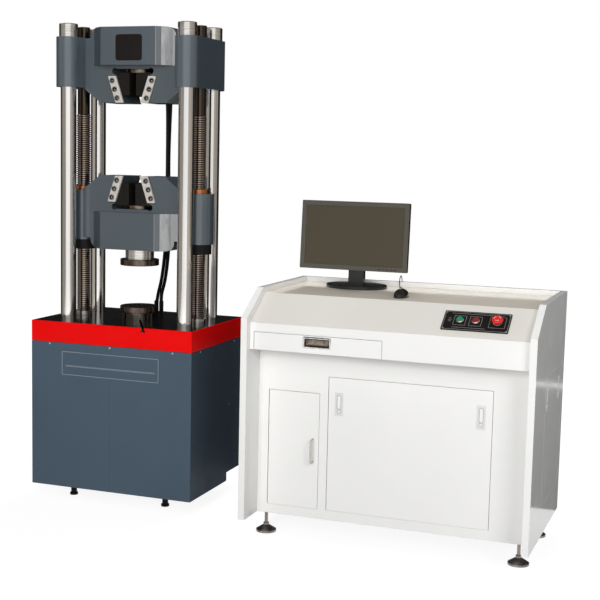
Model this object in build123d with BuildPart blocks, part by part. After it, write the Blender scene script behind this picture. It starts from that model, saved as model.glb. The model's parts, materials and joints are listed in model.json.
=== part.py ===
"""Hydraulic universal testing machine: a load frame and its control console, side by side.

Millimetres, +Z up, front towards -Y. The origin is on the floor, under the middle of both units.
"""
import os
from math import atan, cos, degrees, radians, sin, tan

from build123d import *

os.makedirs("parts", exist_ok=True)

# Layout of the two units
frame_width = 733.0
frame_depth = 516.0
unit_gap = 296.0
console_lead = 205.0  # the console's front stands this far ahead of the frame's
console_width = 1100.0
console_depth = 672.0

# Fits
slip = 0.3  # between pieces that move past each other
run_fit = 0.05  # radial, shaft in its bearing
seat_fit = 0.05  # radial, spigot in its seat
panel_gap = 1.6  # around an inset door, drawer or panel
panel_edge = 1.0  # chamfer round an inset panel's face

# Base of the load frame
sheet = 2.0
casing_bottom = 54.0
casing_seam = 0.8  # width of the line down the middle of the front cover
casing_seam_depth = 0.6
casing_gap = 1.5  # under the worktable
base_clear = 91.0  # floor to the base plate
base_plate_thk = 30.0
drive_space = 54.0  # height of the chain space
deck_thk = 40.0
pillar = 60.0
pillar_inset = 30.0
notch_depth = 148.0  # cut in the right cover, from the back
foot_dia = 34.0
foot_height = 9.0
foot_stem_dia = 25.0
foot_inset_x = 151.5  # from the base's sides
foot_inset_y = 85.0

# Ram
ram_dia = 160.0
ram_wall = 30.0
ram_flange_dia = 300.0
ram_flange_thk = 30.0
ram_head_dia = 260.0
ram_head_thk = 32.0
ram_head_gap = 32.0  # between the barrel and the piston's head
ram_end_gap = 5.0

# Worktable
table_top = 749.0
table_thk = 85.0
table_edge = 1.5
t_slot_angle = -60.0
t_slot_neck = 10.0
t_slot_foot = 18.0
t_slot_neck_depth = 10.0
t_slot_foot_height = 8.0

# Columns
column_dia = 65.0
column_inset_x = 96.5  # from the worktable's sides
column_inset_y = 133.0
column_spigot_dia = 56.0
column_spigot = 70.0  # depth in the worktable
column_end = 2.0  # below the top of its nut
nut_dia = 77.0
nut_height = 55.0
nut_edge = 3.0
nut_hole_dia = 7.0
nut_groove = 1.6  # width of the line turned round each nut
nut_groove_depth = 1.2
nut_groove_up = 22.0

# Lead screws
screw_dia = 60.0
screw_shaft_dia = 52.0
screw_thread_end = 112.0  # below the upper blocks
screw_over = 52.0  # above the upper blocks
screw_pivot_dia = 40.0
screw_pivot = 20.0
screw_play = 8.0  # radial, in the worktable
collar_dia = 74.0
collar_height = 18.0
collar_play = 0.5

# Crosshead casting, measured from its mouth, where the jaws open
cast_height = 305.0
cast_inset = 39.0  # from the columns' plane to the beam's end
cast_thk = 146.0
mouth_inset = 81.0  # from the beam's end
mouth_rise = 60.0
hood_inset = 36.0  # from the beam's end
hood_step = 42.0
hood_radius = 35.0
nose_depth = 154.0
nose_out = 44.0
nose_inset = 51.0  # from the beam's end to the nose's root
nose_splay = 55.0  # from the root to the flat front
nose_bevel_x = 18.0
nose_bevel_y = 13.0
pocket_half = 42.5
pocket_depth = 138.0
pocket_angle = 18.3
relief_radius = 13.0
relief_inset = 9.0
rod_dia = 40.0
rod_length = 80.0
rod_bore = 100.0

# Upper and middle crossheads
upper_mouth = 1652.0
block_rise = 60.0
block_height = 203.0
block_width = 100.0
middle_mouth = 1352.0
boss_dia = 128.0
boss_drop = 65.0
boss_height = 209.0
screw_nut_dia = 84.0
screw_nut_length = 170.0
screw_nut_flange_dia = 92.0
screw_nut_flange = 18.0
wiper_dia = 112.0
wiper_height = 41.0

# Grips
jaw_gap = 30.0
jaw_mouth = 30.0
jaw_play = 0.5
push_dia = 110.0
push_thk = 14.0
push_gap = 1.0
strip_lip = 4.0
strip_width = 36.5
strip_length = 109.0
strip_thk = 9.0
strip_corner = 3.0

# Platens
stem_dia = 120.0
stem_height = 44.0
platen_dia = 163.0
platen_thk = 26.0
platen_base_dia = 142.0
platen_base_height = 29.0
platen_edge = 1.5

# Screw drive
sprocket_dia = 120.0
sprocket_thk = 20.0
sprocket_rise = 14.0  # above the base plate
motor_sprocket_dia = 80.0
motor_y = 205.0
motor_shaft_dia = 24.0
gearbox_width = 110.0
gearbox_depth = 90.0
gearbox_height = 90.0
motor_dia = 94.0
motor_height = 200.0
chain_thk = 8.0
chain_width = 12.0

# Hoses behind the load frame
hose_dia = 15.0
fitting_dia = 21.0
fitting_height = 26.0

# Console body
cheek_thk = 25.0
cheek_bottom = 78.0
cheek_front_top = 848.0
cheek_slope_run = 160.0
rim_top = 950.0
skin = 3.0
back_thk = 20.0
band_recess = 31.0
band_bottom = 730.0
band_top = 831.5
panel_recess = 134.0
panel_thk = 18.0
deck_z = 930.0
slope_end = 175.0
floor_thk = 4.0
side_panel_front = 234.0  # service panel in the right cheek
side_panel_back = 38.0  # from its back edge to the cheek's
side_panel_bottom = 194.0
side_panel_height = 484.0
console_foot_dia = 78.0
console_foot_rim = 8.0
console_foot_height = 34.0
console_foot_neck_dia = 22.0
console_foot_stem_dia = 13.0
console_foot_inset_x = 58.0
console_foot_inset_y = 150.0
cable_hole_dia = 9.0
cable_hole_x = 427.0
cable_hole_drop = 50.0  # below the deck

# Drawer
drawer_left = 40.0  # from the left cheek's outer face
drawer_width = 499.0
drawer_height = 68.0
drawer_front_thk = 18.0
drawer_length = 450.0
drawer_wall = 3.0
drawer_side_gap = 8.0
drawer_box_height = 52.0
drawer_stop = 20.0  # free length behind the closed drawer
pull_width = 110.0
pull_height = 43.0
pull_thk = 4.0
pull_depth = 12.0
pull_wall = 4.0

# Storage door
door_left = 65.0
door_width = 207.0
door_bottom = 114.0
door_height = 450.0
door_pin_dia = 5.0
door_pin = 8.0
door_pin_inset = 4.0
door_edge = 3.5
handle_inset = 22.0
handle_z = 342.0
handle_length = 88.0
handle_out = 28.0
handle_dia = 8.0
handle_bend = 10.0

# Pump panel and its paddle locks
pump_left = 305.0
pump_right = 169.0  # from the right cheek's outer face
pump_bottom = 115.0
pump_height = 516.0
lock_inset_x = 43.0
lock_top_inset = 59.0
lock_width = 31.0
lock_height = 86.0
lock_thk = 6.0
lock_recess = 14.0
lock_pin_dia = 3.0
lock_pin = 4.0

# Control plate and buttons, measured up the slope
plate_width = 242.0
plate_height = 102.0
plate_thk = 3.0
plate_corner = 4.0
plate_right = 236.0  # centre, from the right cheek's outer face
plate_up = 85.0
button_up = 88.0
green_right = 296.0
red_right = 239.0
stop_right = 160.0
button_dia = 22.0
button_out = 9.0
button_in = 24.0
button_edge = 1.0
mushroom_dia = 41.0
mushroom_thk = 12.0
mushroom_lift = 9.0
mushroom_edge = 5.0

# Hydraulic power pack in the console
tank_width = 480.0
tank_front_gap = 83.0  # behind the lower panel
tank_back_gap = 87.0  # ahead of the back wall
tank_height = 300.0
tank_corner = 8.0
pump_motor_dia = 170.0
pump_motor_length = 190.0

# Monitor
monitor_x = 282.0  # centre, from the left cheek's outer face
monitor_width = 445.0
monitor_height = 272.0
monitor_z = 1136.0
monitor_thk = 22.0
monitor_tilt = 4.5
monitor_back_width = 260.0
monitor_back_height = 150.0
monitor_back_thk = 18.0
monitor_edge = 3.0
screen_margin = 18.5  # bezel all round the screen
screen_depth = 2.5  # below the bezel
stand_length = 250.0
stand_depth = 196.0
stand_thk = 14.0
stand_edge = 5.0
stand_gap = 29.0  # between the stand and the back wall
neck_width = 64.0
neck_depth = 24.0
neck_gap = 3.0  # behind the monitor's back
tilt_pin_dia = 10.0
tilt_z = 1120.0
lug_thk = 8.0
lug_height = 30.0
neck_over = 12.0  # above the tilt pin

# Mouse
mouse_x = 535.0
mouse_y = 285.0
mouse_width = 60.0
mouse_length = 102.0
mouse_height = 31.0
mouse_edge = 14.0
cord_dia = 3.6

# Places worked out from the layout
span_x = frame_width + unit_gap + console_width
span_y = max(frame_depth + console_lead, console_depth)
console_left = span_x / 2 - console_width
console_front = -span_y / 2
frame_x = -span_x / 2 + frame_width / 2
frame_y = console_front + console_lead + frame_depth / 2

# Levels of the load frame
table_bottom = table_top - table_thk
casing_top = table_bottom - casing_gap
base_top = base_clear + base_plate_thk
deck_bottom = base_top + drive_space
deck_top = deck_bottom + deck_thk
ram_barrel = table_bottom - ram_head_thk - ram_head_gap - deck_top
block_bottom = upper_mouth + block_rise
block_top = block_bottom + block_height
nut_top = block_top + nut_height
screw_thread_top = block_bottom - screw_thread_end
screw_top = block_top + screw_over
boss_top = middle_mouth - boss_drop
boss_bottom = boss_top - boss_height
middle_bottom = middle_mouth - cast_height
sprocket_bottom = base_top + sprocket_rise

# Half sizes of the load frame
half_w = frame_width / 2
half_d = frame_depth / 2
col_x = half_w - column_inset_x
col_y = half_d - column_inset_y
column_pitch_x = 2 * col_x
column_pitch_y = 2 * col_y
foot_pitch_x = frame_width - 2 * foot_inset_x
foot_pitch_y = frame_depth - 2 * foot_inset_y
cast_y = cast_thk / 2
cast_half = col_x - cast_inset
mouth_half = cast_half - mouth_inset
hood_half = cast_half - hood_inset
nose_root_half = cast_half - nose_inset
nose_half = nose_root_half - nose_splay
pocket_slope = tan(radians(pocket_angle))


def frame_level(z):
    """A level plane on the load frame's axis."""
    return Plane(origin=(frame_x, frame_y, z))


def frame_facing(y):
    """An upright plane across the load frame, facing the front, with its height from the floor."""
    return Plane(origin=(frame_x, frame_y + y, 0), x_dir=(1, 0, 0), z_dir=(0, -1, 0))


def frame_section():
    """An upright plane through the load axis, for turned pieces."""
    return frame_facing(0)


def console_level(z):
    """A level plane whose corner is the front of the left cheek's outer face."""
    return Plane(origin=(console_left, console_front, z))


def console_facing(y):
    """An upright plane across the console, facing the front, y behind the cheeks' front."""
    return Plane(origin=(console_left, console_front + y, 0), x_dir=(1, 0, 0), z_dir=(0, -1, 0))


def console_side(x):
    """An upright plane along the console, facing right, x from the left cheek's outer face."""
    return Plane(origin=(console_left + x, console_front, 0), x_dir=(0, 1, 0), z_dir=(1, 0, 0))


# Base of the load frame: bottom plate and deck joined by corner pillars
with BuildPart() as base_frame:
    inner_w = frame_width - 2 * sheet
    inner_d = frame_depth - 2 * sheet
    with BuildSketch(frame_level(base_clear)):
        Rectangle(inner_w, inner_d)
    extrude(amount=base_plate_thk)
    with BuildSketch(frame_level(base_top)):
        with GridLocations(inner_w - 2 * pillar_inset - pillar, inner_d - 2 * pillar_inset - pillar, 2, 2):
            Rectangle(pillar, pillar)
    extrude(amount=drive_space)
    with BuildSketch(frame_level(deck_bottom)):
        Rectangle(inner_w, inner_d)
        with Locations((-col_x, 0), (col_x, 0)):
            Circle(screw_dia / 2 + run_fit, mode=Mode.SUBTRACT)
        with Locations((0, motor_y)):
            Circle(motor_shaft_dia / 2 + run_fit, mode=Mode.SUBTRACT)
    extrude(amount=deck_thk)
    with BuildSketch(frame_level(base_top)):
        with Locations((-col_x, 0), (col_x, 0)):
            Circle(screw_pivot_dia / 2 + run_fit)
    extrude(amount=-screw_pivot, mode=Mode.SUBTRACT)

# Sheet covers around the base
with BuildPart() as front_cover:
    with BuildSketch(frame_facing(-half_d + sheet)):
        with Locations((0, (casing_bottom + casing_top) / 2)):
            Rectangle(frame_width, casing_top - casing_bottom)
    extrude(amount=sheet)
    with BuildSketch(frame_facing(-half_d)):
        with Locations((0, (casing_bottom + casing_top) / 2)):
            Rectangle(casing_seam, casing_top - casing_bottom)
    extrude(amount=-casing_seam_depth, mode=Mode.SUBTRACT)

with BuildPart() as rear_cover:
    with BuildSketch(frame_facing(half_d)):
        with Locations((0, (base_clear + casing_top) / 2)):
            Rectangle(frame_width, casing_top - base_clear)
    extrude(amount=sheet)

with BuildPart() as left_cover:
    with BuildSketch(frame_level(casing_bottom)):
        with Locations((-half_w + sheet / 2, 0)):
            Rectangle(sheet, frame_depth - 2 * sheet)
    extrude(amount=casing_top - casing_bottom)

with BuildPart() as right_cover:
    with BuildSketch(frame_level(casing_bottom)):
        with Locations((half_w - sheet / 2, 0)):
            Rectangle(sheet, frame_depth - 2 * sheet)
    extrude(amount=casing_top - casing_bottom)
    with BuildSketch(frame_level(casing_bottom)):
        with Locations((half_w - sheet / 2, half_d - notch_depth / 2)):
            Rectangle(sheet, notch_depth)
    extrude(amount=base_clear - casing_bottom, mode=Mode.SUBTRACT)

# Ram that lifts the worktable
with BuildPart() as ram_cylinder:
    with BuildSketch(frame_level(deck_top)):
        Circle(ram_flange_dia / 2)
    extrude(amount=ram_flange_thk)
    with BuildSketch(frame_level(deck_top + ram_flange_thk)):
        Circle(ram_dia / 2 + ram_wall)
        Circle(ram_dia / 2 + run_fit, mode=Mode.SUBTRACT)
    extrude(amount=ram_barrel - ram_flange_thk)

with BuildPart() as ram_piston:
    with BuildSketch(frame_level(deck_top + ram_flange_thk + ram_end_gap)):
        Circle(ram_dia / 2)
    extrude(amount=table_bottom - ram_head_thk - deck_top - ram_flange_thk - ram_end_gap)
    with BuildSketch(frame_level(table_bottom - ram_head_thk)):
        Circle(ram_head_dia / 2)
    extrude(amount=ram_head_thk)

# Worktable with its slanting T-slot
with BuildPart() as worktable:
    with BuildSketch(frame_level(table_bottom)):
        Rectangle(frame_width, frame_depth)
        with Locations((-col_x, 0), (col_x, 0)):
            Circle(screw_dia / 2 + screw_play, mode=Mode.SUBTRACT)
    extrude(amount=table_thk)
    chamfer(worktable.faces().sort_by(Axis.Z)[-1].outer_wire().edges(), table_edge)
    with BuildSketch(frame_level(table_top)):
        with GridLocations(column_pitch_x, column_pitch_y, 2, 2):
            Circle(column_spigot_dia / 2 + seat_fit)
    extrude(amount=-column_spigot, mode=Mode.SUBTRACT)
    slot_reach = 2 * (frame_width + frame_depth)
    with BuildSketch(frame_level(table_top)):
        Rectangle(slot_reach, t_slot_neck, rotation=t_slot_angle)
    extrude(amount=-t_slot_neck_depth, mode=Mode.SUBTRACT)
    with BuildSketch(frame_level(table_top - t_slot_neck_depth)):
        Rectangle(slot_reach, t_slot_foot, rotation=t_slot_angle)
    extrude(amount=-t_slot_foot_height, mode=Mode.SUBTRACT)

with BuildPart() as screw_collars:
    with BuildSketch(frame_level(table_top)):
        with Locations((-col_x, 0), (col_x, 0)):
            Circle(collar_dia / 2)
            Circle(screw_dia / 2 + collar_play, mode=Mode.SUBTRACT)
    extrude(amount=collar_height)

# Four columns and their ring nuts
with BuildPart() as columns:
    with BuildSketch(frame_level(table_top - column_spigot)):
        with GridLocations(column_pitch_x, column_pitch_y, 2, 2):
            Circle(column_spigot_dia / 2)
    extrude(amount=column_spigot)
    with BuildSketch(frame_level(table_top)):
        with GridLocations(column_pitch_x, column_pitch_y, 2, 2):
            Circle(column_dia / 2)
    extrude(amount=block_bottom - table_top)
    with BuildSketch(frame_level(block_bottom)):
        with GridLocations(column_pitch_x, column_pitch_y, 2, 2):
            Circle(column_spigot_dia / 2)
    extrude(amount=nut_top - column_end - block_bottom)

with BuildPart() as column_nuts:
    with BuildSketch(frame_level(block_top)):
        with GridLocations(column_pitch_x, column_pitch_y, 2, 2):
            Circle(nut_dia / 2)
            Circle(column_spigot_dia / 2 + seat_fit, mode=Mode.SUBTRACT)
    extrude(amount=nut_height)
    with BuildSketch(frame_level(block_top + nut_groove_up)):
        with GridLocations(column_pitch_x, column_pitch_y, 2, 2):
            Circle(nut_dia / 2)
            Circle(nut_dia / 2 - nut_groove_depth, mode=Mode.SUBTRACT)
    extrude(amount=nut_groove, mode=Mode.SUBTRACT)
    nut_rims = column_nuts.edges().filter_by(GeomType.CIRCLE).group_by(Axis.Z)[-1]
    chamfer(nut_rims.filter_by(lambda edge: edge.radius > nut_dia / 2 - nut_edge), nut_edge)
    for nut_x in (-col_x, col_x):
        for nut_y in (-col_y, col_y):
            hole_plane = Plane(
                origin=(frame_x + nut_x, frame_y + nut_y, block_top + nut_height / 2), z_dir=(0, -1, 0)
            )
            with BuildSketch(hole_plane):
                Circle(nut_hole_dia / 2)
            extrude(amount=nut_dia, mode=Mode.SUBTRACT)


def casting(mouth):
    """The crosshead's beam and nose, with the jaw pocket, built inwards from the plane of its mouth."""
    front = Plane(origin=mouth.origin, x_dir=mouth.x_dir, z_dir=-mouth.y_dir)
    nose_y = cast_y + nose_out
    with BuildPart() as body:
        with BuildSketch(mouth):
            Rectangle(2 * cast_half, cast_thk)
        extrude(amount=cast_height)
        with BuildSketch(mouth.offset(cast_height - nose_depth)):
            with BuildLine():
                Polyline(
                    (0, -nose_y),
                    (nose_half, -nose_y),
                    (nose_half + nose_bevel_x, -nose_y + nose_bevel_y),
                    (nose_root_half, -cast_y),
                    (nose_root_half, 0),
                    (0, 0),
                    close=True,
                )
            make_face()
            mirror(about=Plane.YZ)
            mirror(about=Plane.XZ)
        extrude(amount=nose_depth)
        with BuildSketch(front) as outline:
            with BuildLine():
                Polyline(
                    (0, 0),
                    (mouth_half, 0),
                    (cast_half, mouth_rise),
                    (cast_half, cast_height - hood_step),
                    (hood_half, cast_height - hood_step),
                    (hood_half, cast_height),
                    (0, cast_height),
                    close=True,
                )
            make_face()
            mirror(about=Plane.YZ)
            crown = outline.vertices().group_by(Axis.Y)[-1].sort_by(Axis.X)
            fillet([crown[0], crown[-1]], hood_radius)
        extrude(amount=nose_y, both=True, mode=Mode.INTERSECT)
        relief_d = pocket_depth - relief_inset
        relief_x = pocket_half + relief_d * pocket_slope - relief_inset * pocket_slope
        with BuildSketch(front):
            with BuildLine():
                Polyline(
                    (0, 0),
                    (pocket_half, 0),
                    (pocket_half + pocket_depth * pocket_slope, pocket_depth),
                    (0, pocket_depth),
                    close=True,
                )
            make_face()
            with Locations((relief_x, relief_d)):
                Circle(relief_radius)
            mirror(about=Plane.YZ)
        extrude(amount=cast_y, both=True, mode=Mode.SUBTRACT)
        with BuildSketch(mouth.offset(pocket_depth)):
            Circle(rod_dia / 2 + run_fit)
        extrude(amount=rod_bore, mode=Mode.SUBTRACT)
    return body.part


def jaw(mouth, side):
    """One wedge jaw, drawn on the side of the pocket that it slides on."""
    front = Plane(origin=mouth.origin, x_dir=mouth.x_dir, z_dir=-mouth.y_dir)
    play = slip / cos(radians(pocket_angle))
    inner_end = pocket_depth - push_gap - push_thk - slip
    with BuildPart() as wedge:
        with BuildSketch(front):
            with BuildLine():
                Polyline(
                    (side * jaw_gap / 2, jaw_mouth),
                    (side * (pocket_half + jaw_mouth * pocket_slope - play), jaw_mouth),
                    (side * (pocket_half + inner_end * pocket_slope - play), inner_end),
                    (side * jaw_gap / 2, inner_end),
                    close=True,
                )
            make_face()
        extrude(amount=cast_y - jaw_play, both=True)
    return wedge.part


def push_plate(mouth):
    """The round plate that drives both jaws, with its rod."""
    with BuildPart() as pusher:
        with BuildSketch(mouth.offset(pocket_depth - push_gap - push_thk)):
            Circle(push_dia / 2)
        extrude(amount=push_thk)
        with BuildSketch(mouth.offset(pocket_depth - push_gap)):
            Circle(rod_dia / 2)
        extrude(amount=rod_length)
    return pusher.part


def jaw_strips(mouth):
    """Four slanting strips on the casting's front and back that keep the jaws in."""
    with BuildPart() as strips:
        for face in (1, -1):
            front = Plane(
                origin=mouth.origin - face * cast_y * mouth.y_dir,
                x_dir=mouth.x_dir,
                z_dir=-mouth.y_dir,
            )
            with BuildSketch(front) as strip:
                with BuildLine():
                    Polyline(
                        (pocket_half - strip_lip, 0),
                        (pocket_half - strip_lip + strip_width, 0),
                        (pocket_half - strip_lip + strip_width + strip_length * pocket_slope, strip_length),
                        (pocket_half - strip_lip + strip_length * pocket_slope, strip_length),
                        close=True,
                    )
                make_face()
                fillet(strip.vertices(), strip_corner)
                mirror(about=Plane.YZ)
            extrude(amount=face * strip_thk)
    return strips.part


upper_plane = frame_level(upper_mouth)
middle_plane = Plane(origin=(frame_x, frame_y, middle_mouth), x_dir=(1, 0, 0), z_dir=(0, 0, -1))

# Upper crosshead: the casting between two blocks that sit on the columns
with BuildPart() as upper_crosshead:
    add(casting(upper_plane))
    with BuildSketch(frame_level(block_bottom)):
        with Locations((-col_x, 0), (col_x, 0)):
            SlotCenterToCenter(column_pitch_y, block_width, rotation=90)
    extrude(amount=block_height)
    with BuildSketch(frame_level(block_bottom)):
        with GridLocations(column_pitch_x, column_pitch_y, 2, 2):
            Circle(column_spigot_dia / 2 + seat_fit)
        with Locations((-col_x, 0), (col_x, 0)):
            Circle(screw_shaft_dia / 2 + slip)
    extrude(amount=block_height, mode=Mode.SUBTRACT)

# Middle crosshead: the same casting upside down, between bosses for the screw nuts
with BuildPart() as middle_crosshead:
    add(casting(middle_plane))
    with BuildSketch(frame_level(boss_bottom)):
        with Locations((-col_x, 0), (col_x, 0)):
            Circle(boss_dia / 2)
    extrude(amount=boss_height)
    with BuildSketch(frame_level(boss_bottom)):
        with Locations((-col_x, 0), (col_x, 0)):
            Circle(screw_nut_dia / 2 + seat_fit)
    extrude(amount=boss_height, mode=Mode.SUBTRACT)
    with BuildSketch(frame_level(boss_top)):
        with Locations((-col_x, 0), (col_x, 0)):
            Circle(screw_nut_flange_dia / 2 + slip)
    extrude(amount=boss_drop, mode=Mode.SUBTRACT)

with BuildPart() as screw_nuts:
    with BuildSketch(frame_level(boss_top)):
        with Locations((-col_x, 0), (col_x, 0)):
            Circle(screw_nut_flange_dia / 2)
    extrude(amount=screw_nut_flange)
    with BuildSketch(frame_level(boss_top)):
        with Locations((-col_x, 0), (col_x, 0)):
            Circle(screw_nut_dia / 2)
    extrude(amount=-screw_nut_length)
    with BuildSketch(frame_level(boss_top + screw_nut_flange)):
        with Locations((-col_x, 0), (col_x, 0)):
            Circle(screw_dia / 2 + run_fit)
    extrude(amount=-screw_nut_length - screw_nut_flange, mode=Mode.SUBTRACT)

with BuildPart() as nut_wipers:
    with BuildSketch(frame_level(boss_bottom)):
        with Locations((-col_x, 0), (col_x, 0)):
            Circle(wiper_dia / 2)
            Circle(screw_dia / 2 + collar_play, mode=Mode.SUBTRACT)
    extrude(amount=-wiper_height)

upper_left_jaw = jaw(upper_plane, -1)
upper_right_jaw = jaw(upper_plane, 1)
lower_left_jaw = jaw(middle_plane, -1)
lower_right_jaw = jaw(middle_plane, 1)
upper_push_plate = push_plate(upper_plane)
lower_push_plate = push_plate(middle_plane)
upper_jaw_strips = jaw_strips(upper_plane)
lower_jaw_strips = jaw_strips(middle_plane)

# Compression platens
with BuildPart() as platen_stem:
    with BuildSketch(frame_level(middle_bottom)):
        Circle(stem_dia / 2)
    extrude(amount=-stem_height)

with BuildPart() as upper_platen:
    with BuildSketch(frame_level(middle_bottom - stem_height)):
        Circle(platen_dia / 2)
    extrude(amount=-platen_thk)
    chamfer(upper_platen.edges().filter_by(GeomType.CIRCLE), platen_edge)

with BuildPart() as lower_platen_base:
    with BuildSketch(frame_level(table_top)):
        Circle(platen_base_dia / 2)
    extrude(amount=platen_base_height)

with BuildPart() as lower_platen:
    with BuildSketch(frame_level(table_top + platen_base_height)):
        Circle(platen_dia / 2)
    extrude(amount=platen_thk)
    chamfer(lower_platen.edges().filter_by(GeomType.CIRCLE), platen_edge)


def lead_screw(x):
    """A lead screw turned in one piece with its sprocket, standing on its pivot in the base plate."""
    with BuildPart() as shaft:
        with BuildSketch(frame_section()):
            with BuildLine():
                Polyline(
                    (x, base_top - screw_pivot + slip),
                    (x + screw_pivot_dia / 2, base_top - screw_pivot + slip),
                    (x + screw_pivot_dia / 2, base_top + slip),
                    (x + screw_dia / 2, base_top + slip),
                    (x + screw_dia / 2, sprocket_bottom),
                    (x + sprocket_dia / 2, sprocket_bottom),
                    (x + sprocket_dia / 2, sprocket_bottom + sprocket_thk),
                    (x + screw_dia / 2, sprocket_bottom + sprocket_thk),
                    (x + screw_dia / 2, screw_thread_top),
                    (x + screw_shaft_dia / 2, screw_thread_top + (screw_dia - screw_shaft_dia) / 2),
                    (x + screw_shaft_dia / 2, screw_top),
                    (x, screw_top),
                    close=True,
                )
            make_face()
        revolve(axis=Axis((frame_x + x, frame_y, 0), (0, 0, 1)))
    return shaft.part


left_screw = lead_screw(-col_x)
right_screw = lead_screw(col_x)

# Gearmotor, its sprocket and the chain that turns both screws
with BuildPart() as drive_motor:
    with BuildSketch(frame_level(deck_top)):
        with Locations((0, motor_y)):
            Rectangle(gearbox_width, gearbox_depth)
    extrude(amount=gearbox_height)
    with BuildSketch(frame_level(deck_top + gearbox_height)):
        with Locations((0, motor_y)):
            Circle(motor_dia / 2)
    extrude(amount=motor_height)

with BuildPart() as motor_sprocket:
    with BuildSketch(frame_level(sprocket_bottom)):
        with Locations((0, motor_y)):
            Circle(motor_sprocket_dia / 2)
    extrude(amount=sprocket_thk)
    with BuildSketch(frame_level(sprocket_bottom + sprocket_thk)):
        with Locations((0, motor_y)):
            Circle(motor_shaft_dia / 2)
    extrude(amount=deck_top - slip - sprocket_bottom - sprocket_thk)

chain_plane = frame_level(sprocket_bottom + (sprocket_thk - chain_width) / 2)
with BuildPart() as drive_chain:
    with BuildSketch(chain_plane):
        with Locations((-col_x, 0), (col_x, 0)):
            Circle(sprocket_dia / 2 + slip + chain_thk)
        with Locations((0, motor_y)):
            Circle(motor_sprocket_dia / 2 + slip + chain_thk)
        make_hull()
    extrude(amount=chain_width)
    with BuildSketch(chain_plane):
        with Locations((-col_x, 0), (col_x, 0)):
            Circle(sprocket_dia / 2 + slip)
        with Locations((0, motor_y)):
            Circle(motor_sprocket_dia / 2 + slip)
        make_hull()
    extrude(amount=chain_width, mode=Mode.SUBTRACT)


def cord_path(points):
    """Straight runs joined by arcs as large as the runs allow, and those arcs' radii."""
    radii = []
    for before, corner, after in zip(points, points[1:], points[2:]):
        run_in = Vector(*corner) - Vector(*before)
        run_out = Vector(*after) - Vector(*corner)
        half_turn = radians(run_in.get_angle(run_out)) / 2
        radii.append(0.45 * min(run_in.length, run_out.length) / tan(half_turn))
    return FilletPolyline(*points, radius=radii), radii


# Hose routes from the upper crosshead's back, down behind the middle one, to the worktable's back edge
hose_y = cast_y + nose_out / 2
hose_top = upper_mouth + cast_height - nose_depth - fitting_height
hose_foot = table_top + fitting_height
left_hose_x = (66.0, -35.0)
right_hose_x = (88.0, -11.0)
hose_foot_y = 230.0
hose_lead = 46.0  # straight run out of each fitting
left_hose_route = [
    (left_hose_x[0], hose_y, hose_top),
    (left_hose_x[0], hose_y, hose_top - hose_lead),
    (67.0, 116.0, 1664.0),
    (60.0, 134.0, 1558.0),
    (57.0, 140.0, 1405.0),
    (56.0, 142.0, 1235.0),
    (51.0, 147.0, 1088.0),
    (34.0, 162.0, 988.0),
    (11.0, 188.0, 920.0),
    (-13.0, 215.0, 872.0),
    (left_hose_x[1], hose_foot_y, hose_foot + hose_lead),
    (left_hose_x[1], hose_foot_y, hose_foot),
]
right_hose_route = [
    (right_hose_x[0], hose_y, hose_top),
    (right_hose_x[0], hose_y, hose_top - hose_lead),
    (75.0, 131.0, 1664.0),
    (60.0, 152.0, 1558.0),
    (53.0, 158.0, 1405.0),
    (57.0, 160.0, 1235.0),
    (60.0, 164.0, 1088.0),
    (47.0, 174.0, 988.0),
    (30.0, 195.0, 920.0),
    (10.0, 217.0, 872.0),
    (right_hose_x[1], hose_foot_y, hose_foot + hose_lead),
    (right_hose_x[1], hose_foot_y, hose_foot),
]


def hose(route):
    """A hose swept along its route, in the load frame's place."""
    placed = [(frame_x + x, frame_y + y, z) for x, y, z in route]
    with BuildPart() as tube:
        with BuildLine() as run:
            path, radii = cord_path(placed)
        with BuildSketch(Plane(origin=path @ 0, z_dir=path % 0)):
            Circle(hose_dia / 2)
        sweep(path=run.wires()[0])
    print("hose length", round(path.length), "radii", [round(radius) for radius in radii])
    return tube.part


left_hose = hose(left_hose_route)
right_hose = hose(right_hose_route)

with BuildPart() as hose_fittings:
    with BuildSketch(frame_level(hose_top)):
        with Locations((left_hose_x[0], hose_y), (right_hose_x[0], hose_y)):
            RegularPolygon(fitting_dia / 2, 6)
    extrude(amount=fitting_height)
    with BuildSketch(frame_level(table_top)):
        with Locations((left_hose_x[1], hose_foot_y), (right_hose_x[1], hose_foot_y)):
            RegularPolygon(fitting_dia / 2, 6)
    extrude(amount=fitting_height)

# Console: two cheeks with sloping tops
side_panel_length = console_depth - side_panel_front - side_panel_back
side_panel_y = side_panel_front + side_panel_length / 2
cheek_points = [
    (0, cheek_bottom),
    (0, cheek_front_top),
    (cheek_slope_run, rim_top),
    (console_depth, rim_top),
    (console_depth, cheek_bottom),
]
with BuildPart() as left_cheek:
    with BuildSketch(console_side(0)):
        with BuildLine():
            Polyline(*cheek_points, close=True)
        make_face()
    extrude(amount=cheek_thk)

with BuildPart() as right_cheek:
    with BuildSketch(console_side(console_width - cheek_thk)):
        with BuildLine():
            Polyline(*cheek_points, close=True)
        make_face()
    extrude(amount=cheek_thk)
    with BuildSketch(console_side(console_width)):
        with Locations((side_panel_y, side_panel_bottom + side_panel_height / 2)):
            Rectangle(side_panel_length, side_panel_height)
    extrude(amount=-cheek_thk, mode=Mode.SUBTRACT)

# Service panel standing in the right cheek's cut-out
with BuildPart() as side_panel:
    with BuildSketch(console_side(console_width - cheek_thk)):
        with Locations((side_panel_y, side_panel_bottom + (side_panel_height + slip - panel_gap) / 2)):
            Rectangle(side_panel_length - 2 * panel_gap, side_panel_height - slip - panel_gap)
    extrude(amount=cheek_thk)
    chamfer(side_panel.faces().sort_by(Axis.X)[-1].edges(), panel_edge)

inner_width = console_width - 2 * cheek_thk
inner_mid = console_width / 2
inner_back = console_depth - back_thk

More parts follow.
